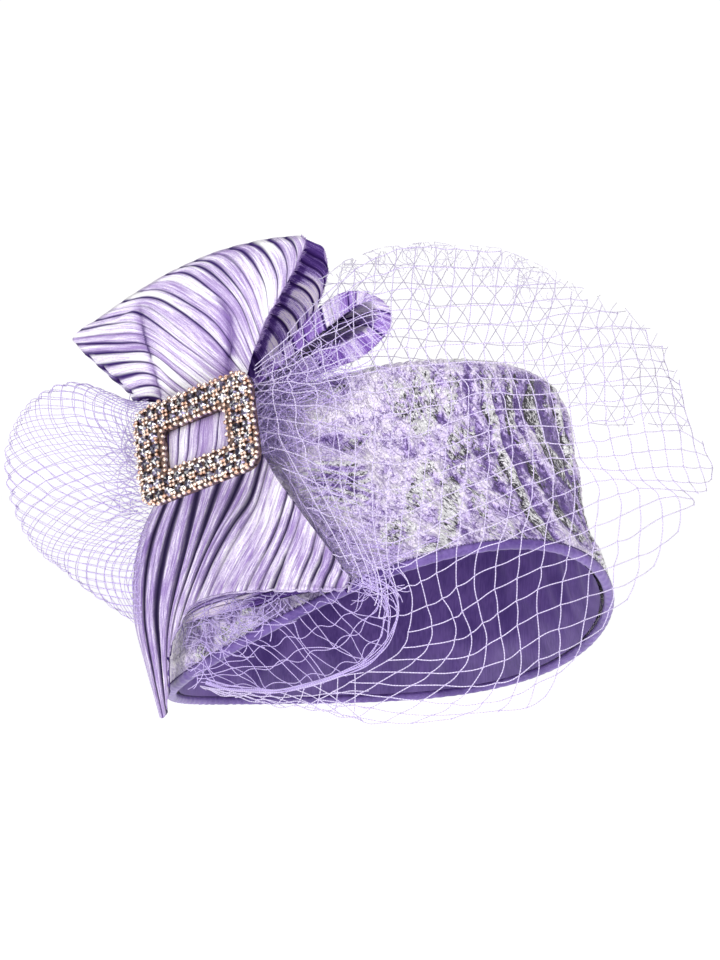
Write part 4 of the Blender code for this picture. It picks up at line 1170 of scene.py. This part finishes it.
# ---------------------------------------------------------------- net veil
# The part's loft of the net, for the depth of both layers.
NET_RAILS = [
    # free edge, low, rim level, middle, crown top, upper, crest, beyond, landing
    [(185, 690, 50), (262, 640, 78), (358, 592, 104), (318, 520, 92), (276, 440, 76), (312, 345, 78), (345, 268, 52), (368, 275, 8)],
    [(290, 698, 88), (335, 650, 104), (388, 590, 110), (368, 510, 105), (348, 420, 94), (355, 330, 84), (380, 250, 50), (396, 280, 4)],
    [(370, 724, 105), (400, 650, 116), (435, 590, 119), (430, 500, 116), (425, 405, 104), (425, 310, 88), (430, 243, 48), (430, 288, -5)],
    [(450, 722, 110), (480, 650, 120), (500, 585, 121), (502, 490, 117), (500, 395, 105), (500, 310, 86), (500, 249, 40), (490, 298, -18)],
    [(535, 712, 108), (560, 640, 112), (578, 570, 110), (582, 480, 104), (578, 395, 92), (570, 320, 74), (560, 275, 32), (540, 318, -28)],
    [(602, 632, 88), (632, 580, 88), (645, 520, 84), (650, 455, 78), (645, 390, 66), (632, 335, 48), (615, 300, 10), (585, 343, -42)],
    [(668, 568, 52), (690, 525, 48), (702, 490, 40), (700, 450, 34), (685, 400, 24), (675, 360, 8), (657, 335, -16), (615, 370, -55)],
    [(700, 500, 12), (712, 478, 4), (708, 452, -6), (696, 425, -15), (682, 398, -24), (667, 378, -35), (645, 372, -50), (605, 398, -70)],
]
NET_LANDING = [(352, -18), (385, -28), (418, -38), (450, -48), (478, -58), (498, -67), (508, -76), (512, -86)]
top_normal = LEAN @ np.array([0, 0, 1.0])
top_plane = (LEAN @ np.array([0, 0, 89.8 + 2.0])) @ top_normal


def on_top(x, d):
    a, b = sheet(x, 0, d), sheet(x, 100, d)
    f = (top_plane - a @ top_normal) / (b @ top_normal - a @ top_normal)
    return float(f * 100)


net_rails = [rail + [(x, on_top(x, d), d)] for rail, (x, d) in zip(NET_RAILS, NET_LANDING)]
near_depth = depth_from(net_rails, 0.0, 0.735, 17, 15, 0.01)
far_depth = depth_from(net_rails, 0.76, 1.0, 15, 7, 0.01)
crown_near = (near > 0.9) & (lev > 3)
pick = np.flatnonzero(crown_near)[::211]
crown_depth = thin_plate(np.stack([x[pick], y[pick]], -1), d[pick], 0.01)

# Knots of the near layer: column of the net, then (row of the net, across, down)
NET_KNOTS = {
    -12: [(-7, 256, 362), (-5, 256, 369), (-3, 256, 377), (-1, 256, 388), (1, 257, 405), (3, 262, 432), (5, 282, 468), (6, 306, 510), (7, 334, 556)],
    -8: [(-7, 316, 300), (-5, 318, 325), (-3, 320, 352), (-1, 326, 380), (1, 337, 410), (3, 338, 452), (5, 343, 497), (6, 352, 526), (7, 370, 562)],
    -4: [(-7, 396, 249), (-5, 392, 290), (-3, 390, 330), (-1, 392, 368), (0, 411, 386), (1, 411, 410), (3, 407, 463), (5, 402, 514), (6, 400, 540), (7, 399, 567), (8, 409, 585), (9, 412, 612), (10, 408, 632), (11, 402, 648), (13, 368, 672), (15, 333, 692), (17, 306, 707)],
    -2: [(-7, 436, 247), (-5, 431, 288), (-3, 428, 328), (-1, 430, 364), (0, 446, 381), (2, 448, 423), (4, 444, 471), (6, 440, 522), (7, 436, 550), (8, 436, 573), (9, 442, 598), (10, 453, 618), (11, 455, 640), (12, 445, 658), (13, 430, 672), (15, 390, 697), (17, 358, 717)],
    -1: [(0, 463, 379), (2, 469, 415), (4, 466, 462), (6, 461, 512), (8, 456, 561), (9, 457, 587), (10, 463, 611), (11, 471, 633), (12, 469, 655), (14, 445, 685), (16, 400, 713), (17, 385, 722)],
    0: [(-7, 478, 251), (-5, 473, 286), (-3, 468, 325), (-1, 466, 362), (0, 480, 378), (1, 484, 392), (2, 487, 410), (4, 488, 453), (5, 487, 478), (7, 484, 528), (8, 478, 549), (9, 474, 575), (10, 477, 602), (11, 483, 622), (12, 487, 646), (13, 483, 667), (15, 452, 703), (17, 413, 723)],
    1: [(2, 506, 409), (4, 512, 445), (5, 511, 466), (6, 511, 491), (8, 500, 542), (10, 495, 590), (12, 501, 637), (13, 504, 660), (14, 496, 683), (15, 482, 703), (17, 452, 719)],
    2: [(-6, 520, 268), (-4, 515, 304), (-2, 504, 343), (-1, 505, 362), (0, 512, 379), (2, 521, 409), (4, 529, 442), (5, 532, 460), (6, 532, 483), (7, 530, 507), (8, 523, 532), (10, 517, 578), (12, 517, 625), (13, 520, 650), (14, 519, 676), (15, 512, 697), (16, 500, 711)],
    3: [(1, 533, 394), (3, 541, 426), (5, 550, 458), (6, 554, 475), (7, 553, 497), (8, 547, 523), (9, 545, 545), (11, 538, 590), (13, 539, 638), (14, 539, 660), (15, 535, 685), (16, 527, 708)],
    4: [(-4, 552, 299), (-2, 542, 339), (-1, 543, 359), (0, 546, 377), (2, 553, 408), (4, 559, 444), (5, 565, 459), (6, 573, 469), (7, 575, 488), (8, 574, 512), (9, 570, 537), (11, 563, 582), (13, 559, 629), (15, 556, 675), (16, 545, 697)],
    5: [(-3, 568, 314), (-1, 562, 353), (1, 568, 390), (3, 572, 425), (5, 580, 458), (6, 588, 468), (7, 596, 481), (8, 598, 501), (9, 595, 526), (10, 592, 551), (12, 588, 596), (14, 581, 641), (15, 573, 660)],
    6: [(-4, 587, 300), (-2, 579, 330), (0, 584, 367), (2, 586, 404), (4, 593, 441), (6, 603, 469), (7, 613, 479), (8, 618, 494), (9, 620, 516), (11, 614, 566), (13, 609, 610), (14, 602, 628)],
    7: [(-3, 600, 311), (-1, 601, 345), (1, 604, 382), (3, 606, 421), (5, 614, 455), (6, 620, 470), (7, 627, 480), (8, 638, 488), (9, 640, 507), (10, 641, 531), (12, 636, 578), (13, 627, 600)],
    8: [(-3, 618, 313), (-2, 612, 326), (0, 621, 360), (2, 623, 398), (4, 628, 435), (6, 636, 468), (7, 642, 480), (8, 653, 488), (9, 659, 499), (10, 662, 518), (11, 661, 545), (12, 654, 566)],
    9: [(-2, 631, 327), (0, 638, 359), (2, 641, 395), (4, 645, 432), (6, 652, 467), (7, 658, 480), (8, 668, 489), (9, 676, 497), (10, 681, 511), (11, 678, 531)],
    10: [(-2, 645, 331), (-1, 648, 346), (1, 656, 375), (3, 658, 412), (5, 665, 449), (7, 674, 481), (8, 683, 490), (9, 692, 499), (10, 694, 505)],
    11: [(-1, 662, 347), (0, 664, 362), (2, 673, 394), (4, 680, 431), (6, 684, 466), (7, 690, 482), (8, 697, 492)],
    12: [(1, 680, 385), (2, 684, 408), (4, 693, 438), (6, 700, 467), (7, 705, 482), (8, 706, 490)],
    13: [(4, 703, 444), (5, 707, 456), (6, 712, 468), (7, 712, 479)],
}
knot_table = np.array([(col, row, xx, yy) for col, rows_ in NET_KNOTS.items() for row, xx, yy in rows_], float)
knot_x = thin_plate(knot_table[:, :2] * 10, knot_table[:, 2], 0.0)
knot_y = thin_plate(knot_table[:, :2] * 10, knot_table[:, 3], 0.0)
ROW_FROM = {-12: -6, -11: -6.5, -10: -7, -9: -7, -8: -7, 4: -5, 5: -4.6, 6: -4, 7: -3.6, 8: -3.2, 9: -2.6, 10: -2.2, 11: -1.2, 12: 0.6, 13: 3.6}
ROW_TO = {-12: 7, -11: 7.4, -10: 7.8, -9: 8.2, -8: 8.6, -7: 9, -6: 9, -5: 9, 2: 16.4, 3: 16, 4: 16, 5: 15, 6: 14, 7: 13, 8: 12, 9: 11, 10: 10, 11: 8.3, 12: 8, 13: 7}


def row_span(col):
    return ROW_FROM.get(col, -7.2 if col < 2 else -6.0 + 0.3 * (col - 2)), ROW_TO.get(col, 17)


def net_place(col, row, sway=1.0, lift=0.0, seed=0):
    """Where a knot of the near layer lies, in mm."""
    px, py = knot_x(col * 10, row * 10), knot_y(col * 10, row * 10)
    sway = sway * (1.0 + 3.2 * smooth(-4.5, -8.0, col))
    px = px + sway * flat_noise(col * 0.9, row * 0.9, 201 + seed)
    py = py + sway * flat_noise(col * 0.9, row * 0.9, 202 + seed)
    dd_ = near_depth(px, py) + lift + 0.5 * flat_noise(col * 0.7, row * 0.7, 203 + seed)
    return sheet(px, py, dd_)


def slack(col, row, along_col):
    """Threads hang a little between their knots."""
    k = row if along_col else col
    return 0.09 * np.sin(math.pi * (k - np.floor(k))) * (0.4 + flat_noise(np.floor(col) * 1.7, np.floor(row) * 1.3, 210))


near_lines, near_knots = [], []
for col in range(-11, 14):
    a, b = row_span(col)
    r = np.arange(math.ceil(a * 4), math.floor(b * 4) + 1) / 4.0
    c = col + slack(np.full_like(r, col), r, True)
    near_lines.append(net_place(c, r))
    k = np.arange(math.ceil(a), math.floor(b) + 1).astype(float)
    near_knots.append(net_place(np.full_like(k, col), k))
for row in range(-7, 18):
    cols = [c for c in range(-12, 14) if row_span(c)[0] <= row <= row_span(c)[1]]
    if len(cols) < 2:
        continue
    c = np.arange(cols[0] * 4, cols[-1] * 4 + 1) / 4.0
    r = row + slack(c, np.full_like(c, row), False)
    near_lines.append(net_place(c, r))
THREAD = 0.21
VEIL_FRONT = tubes("veil_front_net", near_lines, THREAD, NET, 5, np.concatenate(near_knots), 0.44)

# the far layer, seen above the crown: two families of slanting threads and a crossing one
CREST = [(322, 280), (345, 262), (380, 249), (430, 243), (500, 249), (530, 262), (560, 275), (585, 288), (615, 300), (640, 318), (662, 334), (676, 360), (684, 396), (692, 432)]
FAR_EDGE = [(330, 372), (400, 365), (470, 362), (520, 368), (556, 392), (572, 418), (588, 424), (602, 426), (621, 429), (643, 421), (659, 429), (678, 433), (692, 434)]


def far_inside(px, py):
    return (py > np.interp(px, *zip(*CREST)) + 1.0) & (py < np.interp(px, *zip(*FAR_EDGE))) & (px > 326) & (px < 690)


def far_lines(direction, spacing, seed):
    out = []
    c, s = math.cos(math.radians(direction)), math.sin(math.radians(direction))
    for k in np.arange(-700, 1200, spacing):
        q = np.arange(-400, 1200, 4.0)
        px, py = -s * k + c * q, c * k + s * q
        px, py = px + 3.4 * flat_noise(px / 34, py / 34, seed) + 1.0 * flat_noise(px / 9, py / 9, seed + 1), py + 3.4 * flat_noise(px / 34 + 9, py / 34, seed) + 1.0 * flat_noise(px / 9 + 5, py / 9, seed + 1)
        keep = far_inside(px, py)
        edges = np.flatnonzero(np.diff(np.r_[0, keep.astype(int), 0]))
        for a, b in zip(edges[::2], edges[1::2]):
            if b - a > 3:
                fx, fy = px[a:b], py[a:b]
                fd = far_depth(fx, fy)
                over = crown_top_limit(fx, fy)
                fd = np.minimum(fd, over)
                fd = np.maximum(fd, (RIGHT[0] * (fx - OX) * SQUARE - 114.0) / -BACK[0])
                out.append(sheet(fx, fy, np.clip(fd, -84.0, 80.0)))
    return out


def crown_top_limit(px, py):
    """Nothing here lies nearer than the near layer."""
    return near_depth(px, py) - 6.0


far = far_lines(58, 17.5, 221) + far_lines(-58, 17.5, 221) + far_lines(2, 19.0, 221)
VEIL_BACK = tubes("veil_back_net", far, 0.17, NET_FAR, 4)

# loose ends along the crest
rng = np.random.default_rng(11)
curls = []
for n in range(110):
    cx_ = rng.uniform(330, 560)
    cy_ = np.interp(cx_, *zip(*CREST)) + rng.uniform(-1, 30)
    q = np.linspace(0, 1, 18)
    a0, bend, ln = rng.uniform(0, 2 * math.pi), rng.normal(0, 2.4), rng.uniform(14, 42)
    a = a0 + bend * q + 0.5 * np.sin(q * 5 + n)
    px = cx_ + np.cumsum(np.cos(a)) * ln / 18
    py = cy_ + np.cumsum(np.sin(a)) * ln / 18
    py = np.maximum(py, np.interp(px, *zip(*CREST)) - 1.5 + 0.06 * py % 1)
    curls.append(sheet(px, py, near_depth(px, py) * 0.5 + far_depth(px, py) * 0.5 + rng.normal(0, 5)))
CURLS = tubes("veil_crest_ends", curls, 0.15, NET_FAR, 3)

# net drawn together beside the bow: fine threads over the crown
tangle = []


def loose(px0, py0, heading, spread, reach, curl, steps=22):
    """A long soft bend of thread that starts at a square."""
    a = math.radians(rng.normal(heading, spread)) + rng.normal(0, curl) * np.linspace(0, 1, steps) + 0.25 * np.sin(np.linspace(0, 5, steps) + rng.uniform(0, 6))
    ln = rng.uniform(*reach)
    return px0 + np.cumsum(np.cos(a)) * ln / steps, py0 + np.cumsum(np.sin(a)) * ln / steps


def over_crown(px, py, low, high):
    steps = len(px)
    lift = low + rng.uniform(0, high) * np.sin(np.linspace(0.15, 1, steps) * math.pi)
    return np.minimum(crown_depth(px, np.clip(py, 384, 572)) + lift, near_depth(px, py) + 1.0)


for n in range(150):
    # out from the buckle and the tail's edge
    u = rng.uniform(0, 1) ** 1.1
    sx, sy = np.interp(u, [0, 0.35, 0.5, 1], [256, 264, 272, 350]), np.interp(u, [0, 0.35, 0.5, 1], [380, 420, 455, 582])
    px, py = loose(sx, sy, np.interp(u, [0, 0.4, 1], [-12, 5, 15]), 34, (22, 105), 1.7)
    ok = (py < 588) & (py > 352) & (px > np.interp(py, [380, 420, 455, 584], [250, 262, 270, 348]) - 2)
    if ok.sum() > 6:
        tangle.append(sheet(px[ok], py[ok], over_crown(px[ok], py[ok], 3.0, 9.0)))
for n in range(90):
    # crowded right by the bow, above the leaf and below it
    low = n % 3 == 0
    px, py = loose(rng.uniform(300, 345) if low else rng.uniform(256, 290), rng.uniform(535, 585) if low else rng.uniform(378, 470), rng.normal(20, 60), 50, (14, 52), 2.6, 18)
    ok = (py < 588) & (py > 352) & (px > np.interp(py, [380, 420, 455, 584], [250, 262, 270, 348]) - 2)
    if ok.sum() > 6:
        tangle.append(sheet(px[ok], py[ok], over_crown(px[ok], py[ok], 2.4, 6.0)))
for n in range(70):
    # under the loop, over the near end of the top's edge
    px, py = loose(rng.uniform(250, 318), rng.uniform(366, 398), rng.normal(-18, 10), 24, (24, 85), 1.5)
    ok = (py > 340) & (py < 404) & (px < 400)
    if ok.sum() > 6:
        tangle.append(sheet(px[ok], py[ok], over_crown(px[ok], np.clip(py[ok], 384, 404), 2.0, 10.0)))
for n in range(60):
    # crowded at the corner below the tail's end
    px, py = loose(rng.uniform(335, 392), rng.uniform(548, 602), rng.uniform(0, 360), 60, (18, 60), 2.2)
    ok = (py > 520) & (py < 612) & (px > np.interp(py, [500, 584], [296, 350])) & (px < 412)
    if ok.sum() > 6:
        tangle.append(sheet(px[ok], py[ok], over_crown(px[ok], py[ok], 3.0, 10.0)))
# the net stretched over the back loop: long threads along it and slanting ones across
LOOP_NET_LOW, LOOP_NET_HIGH = even_curve([(252, 420), (290, 392), (330, 372), (368, 352), (392, 338)], 40), even_curve([(246, 384), (276, 352), (310, 320), (345, 296), (372, 292)], 40)


def loop_net(u, v):
    i = np.clip(u, 0, 1) * 39
    low = np.stack([np.interp(i, np.arange(40), LOOP_NET_LOW[:, a]) for a in (0, 1)], -1)
    high = np.stack([np.interp(i, np.arange(40), LOOP_NET_HIGH[:, a]) for a in (0, 1)], -1)
    p = low + (high - low) * np.asarray(v)[..., None]
    px = p[:, 0] + 1.8 * flat_noise(p[:, 0] / 16, p[:, 1] / 16, 261)
    py = p[:, 1] + 1.8 * flat_noise(p[:, 0] / 16 + 4, p[:, 1] / 16, 262)
    return sheet(px, py, 58 + 15 * np.sin(np.clip(u, 0, 1) * math.pi * 0.55) + 3.0 * np.sin(np.clip(v, 0, 1) * math.pi))


for n in range(6):
    u = np.linspace(0.0, 1.0, 44)
    tangle.append(loop_net(u, (n + 0.4) / 5.6 + 0.03 * np.sin(u * 9 + n) + 0.10 * (u - 0.5)))
for n in range(13):
    v = np.linspace(0, 1, 18)
    tangle.append(loop_net((n + 0.5) / 12.0 - 0.16 * (v - 0.5) + 0.015 * np.sin(v * 7 + n), v))
# the same net's gathers, from behind the knot to the crown's side
gather_rng = np.random.default_rng(415)
for n in range(130):
    t = np.linspace(0, 1, 18)[:, None]
    start = on_buckle(np.array([[gather_rng.uniform(-8, 20), gather_rng.uniform(-12, 12), -(HALF_T + gather_rng.uniform(3.4, 8.4))]]))[0]
    ex, ey = np.array([gather_rng.uniform(258, 288)]), np.array([gather_rng.uniform(387, 472)])
    end = sheet(ex, ey, crown_depth(ex, ey) + 1.2)[0]
    bend = gather_rng.normal(0, 3.0, 3)[None]
    wave = gather_rng.normal(0, 0.9, 3)[None]
    tangle.append(start[None] + (end - start)[None] * t + bend * np.sin(t * math.pi) + wave * np.sin(t * 3 * math.pi))
TANGLE = tubes("veil_gathered_net", tangle, 0.20, NET_GATHERED_LIT, 3)

# rope of gathered net round the lower left, its hem band and the coarse threads inside it
ROPE = [(206, 682), (226, 688), (250, 690), (276, 691), (309, 684), (342, 673), (367, 661), (384, 643), (391, 623), (393, 608), (386, 592), (362, 580)]
rope_lines = []
c = even_curve(ROPE, 70)
k = np.linspace(0, 1, 70)
side = np.stack([np.gradient(c[:, 1]), -np.gradient(c[:, 0])], -1)
side /= np.linalg.norm(side, axis=1, keepdims=True)
for n in range(8):
    wide = 1.7 + 4.8 * smooth(0.45, 0.85, k)
    off = wide * np.sin(k * (4.5 + 1.7 * (n % 4)) + n * 1.9) + 1.8 * flat_noise(k * 5 + n * 3.3, n * 1.7, 231) + (n - 4) * 0.30
    px, py = c[:, 0] + side[:, 0] * off, c[:, 1] + side[:, 1] * off
    rope_lines.append(sheet(px, py, near_depth(px, py) + 0.8 * flat_noise(k * 7, n * 2.1, 232)))
# big soft loops of net that hang from the rim to the rope
HANG_TOP = even_curve([(186, 668), (200, 652), (230, 628), (262, 612), (300, 597), (340, 585), (376, 572)], 60)
HANG_LOW = even_curve([(200, 684), (226, 690), (262, 692), (304, 687), (342, 675), (370, 660), (388, 632), (386, 596)], 60)


def hang(u, v, seed):
    i = np.clip(u, 0, 1) * 59
    tx, ty = np.interp(i, np.arange(60), HANG_TOP[:, 0]), np.interp(i, np.arange(60), HANG_TOP[:, 1])
    lx, ly = np.interp(i, np.arange(60), HANG_LOW[:, 0]), np.interp(i, np.arange(60), HANG_LOW[:, 1])
    px, py = tx + (lx - tx) * v, ty + (ly - ty) * v
    px = px + 6.0 * flat_noise(px / 34, py / 34, seed) + 1.0 * flat_noise(px / 12, py / 12, seed + 1)
    py = py + 5.0 * flat_noise(px / 34 + 5, py / 34, seed + 2) + 1.0 * flat_noise(px / 12 + 3, py / 12, seed + 3)
    return sheet(px, py, near_depth(px, py) - 3.0 - 7.0 * np.sin(np.clip(v, 0, 1) * math.pi) * (seed % 2))


for seed, across_, down_ in ((301, 14, 4), (312, 7, 1)):
    for n in range(across_):
        v = np.linspace(-0.05, 1.02, 26)
        rope_lines.append(hang((n + 0.5) / across_ + 0.022 * np.sin(v * 5 + n * 2.0) + 0.10 * (v - 0.5), v, seed))
    for n in range(down_):
        u = np.linspace(0, 1, 80)
        rope_lines.append(hang(u, (n + 0.6) / down_ + 0.035 * np.sin(u * across_ * math.pi + n * math.pi), seed))
# the crowded netting over the lower left of the crown's side
for n in range(90):
    px0, py0 = rng.uniform(176, 268), 0.0
    py0 = np.interp(px0, [176, 200, 230, 268], [650, 632, 612, 598]) + rng.uniform(-22, 22)
    steps, ln = 14, rng.uniform(18, 60)
    a = math.radians(rng.normal(-28, 50)) + np.cumsum(rng.normal(0, 0.10, steps)) + rng.normal(0, 0.13) * np.arange(steps)
    px, py = px0 + np.cumsum(np.cos(a)) * ln / steps, py0 + np.cumsum(np.sin(a)) * ln / steps
    ok = (px > 174) & (px < 330) & (py < np.interp(px, [174, 198, 250, 330], [690, 690, 660, 610])) & (py > np.interp(px, [174, 200, 262, 330], [632, 600, 592, 590]))
    if ok.sum() > 4:
        rope_lines.append(sheet(px[ok], py[ok], crown_depth(px[ok], np.clip(py[ok], 560, 640)) + rng.uniform(3, 9)))
ROPE_NET = tubes("veil_side_pouf", rope_lines, 0.17, NET_SOFT, 4)

# hem band under the rope
BORDER = [(206, 690), (233, 697), (251, 700), (276, 706), (306, 708), (337, 715), (367, 722), (398, 727)]
band = []
top_edge, low_edge = even_curve([(200, 686), (226, 690), (276, 692), (309, 686), (342, 676), (368, 672)], 40), even_curve(BORDER, 40)
for k in range(0, 4):
    f = k / 3.0
    c = top_edge * (1 - f) + low_edge * f
    wave = 1.6 * f * np.sin(np.arange(40) * 1.05 + k * 1.5)
    c, wave = c[c[:, 0] < 366 + 6 * k], wave[c[:, 0] < 366 + 6 * k]
    band.append(sheet(c[:, 0], c[:, 1] + wave, near_depth(c[:, 0], c[:, 1])))
for i in range(-2, 40, 4):
    idx = np.clip(i + np.array([0, 2, 4, 6]), 0, 39)
    f = np.linspace(0, 1, 4)
    for way in (idx, idx[::-1]):
        px, py = top_edge[way, 0] * (1 - f) + low_edge[way, 0] * f, top_edge[way, 1] * (1 - f) + low_edge[way, 1] * f
        if px.max() < 372:
            band.append(sheet(px, py, near_depth(px, py)))
BAND = tubes("veil_hem_net", band, 0.19, NET, 4)

# gathered net beside the buckle
PUFF_EDGE = [(150, 398), (131, 401), (107, 392), (86, 385), (67, 384), (50, 390), (31, 404), (19, 420), (11, 440), (8, 462), (10, 487), (17, 510), (28, 535), (46, 556), (64, 570), (83, 586), (107, 603), (128, 617), (142, 624)]
PUFF_ROOT = [(150, 414), (141, 424), (138, 440), (138, 456), (140, 472), (143, 488), (148, 500), (150, 520), (142, 550), (140, 580)]
puff_edge, puff_root = even_curve(PUFF_EDGE, 200), even_curve(PUFF_ROOT, 200)


def puff_place(q, r, layer, seed):
    """q runs round the outline, r from the root by the buckle (0) to the outline (1)."""
    i = np.clip(q, 0, 1) * 199
    ex, ey = np.interp(i, np.arange(200), puff_edge[:, 0]), np.interp(i, np.arange(200), puff_edge[:, 1])
    rx_, ry_ = np.interp(i, np.arange(200), puff_root[:, 0]), np.interp(i, np.arange(200), puff_root[:, 1])
    px, py = rx_ + (ex - rx_) * r, ry_ + (ey - ry_) * r
    px, py = px + 4.2 * flat_noise(px / 19, py / 19, 240 + seed) * (1 - r * 0.6), py + 4.2 * flat_noise(px / 19 + 7, py / 19, 241 + seed) * (1 - r * 0.6)
    bulge = np.sqrt(np.clip(1 - r ** 2.6, 0, 1)) * smooth(-0.25, 0.3, r)
    return sheet(px, py, 24 + 0.16 * (px - 76) + layer * 10.5 * bulge + 0.8 * flat_noise(px / 11, py / 11, 243 + seed))


puff = []
for layer, seed, count_, shift in ((1, 0, 28, 0.0), (-1, 5, 25, 0.4)):
    rows_ = 13
    r = 1 - (np.arange(rows_ * 3 + 1) / (rows_ * 3.0)) ** 1.12
    for i in range(-6, count_ + 7):
        for way in (1, -1):
            q = (i + shift + way * np.arange(rows_ * 3 + 1) / 6.0) / count_
            ok = (q >= 0) & (q <= 1)
            if ok.sum() > 4:
                puff.append(puff_place(q[ok], r[ok], layer, seed))
    for i in range(count_):
        q = (i + shift + np.linspace(0, 1, 9)) / count_
        if q[-1] <= 1:
            puff.append(puff_place(q, 0.975 + 0.045 * np.sin(np.linspace(0, math.pi, 9)), layer * 0.2, seed))
for n in range(46):
    # drawn together where it goes behind the buckle
    px, py = loose(rng.uniform(133, 147), rng.uniform(424, 516), 180, 34, (16, 58), 1.4)
    ok = (px > 90) & (px < 150)
    if ok.sum() > 6:
        puff.append(sheet(px[ok], py[ok], 24 + 0.16 * (px[ok] - 76) + rng.uniform(-5, 5)))
PUFF = tubes("veil_side_puff_net", puff, 0.17, NET_SOFT, 3)

for piece, nodes in ((VEIL_FRONT, ("veil_cage",)), (PUFF, ("veil_side_puff",))):
    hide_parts(*nodes)
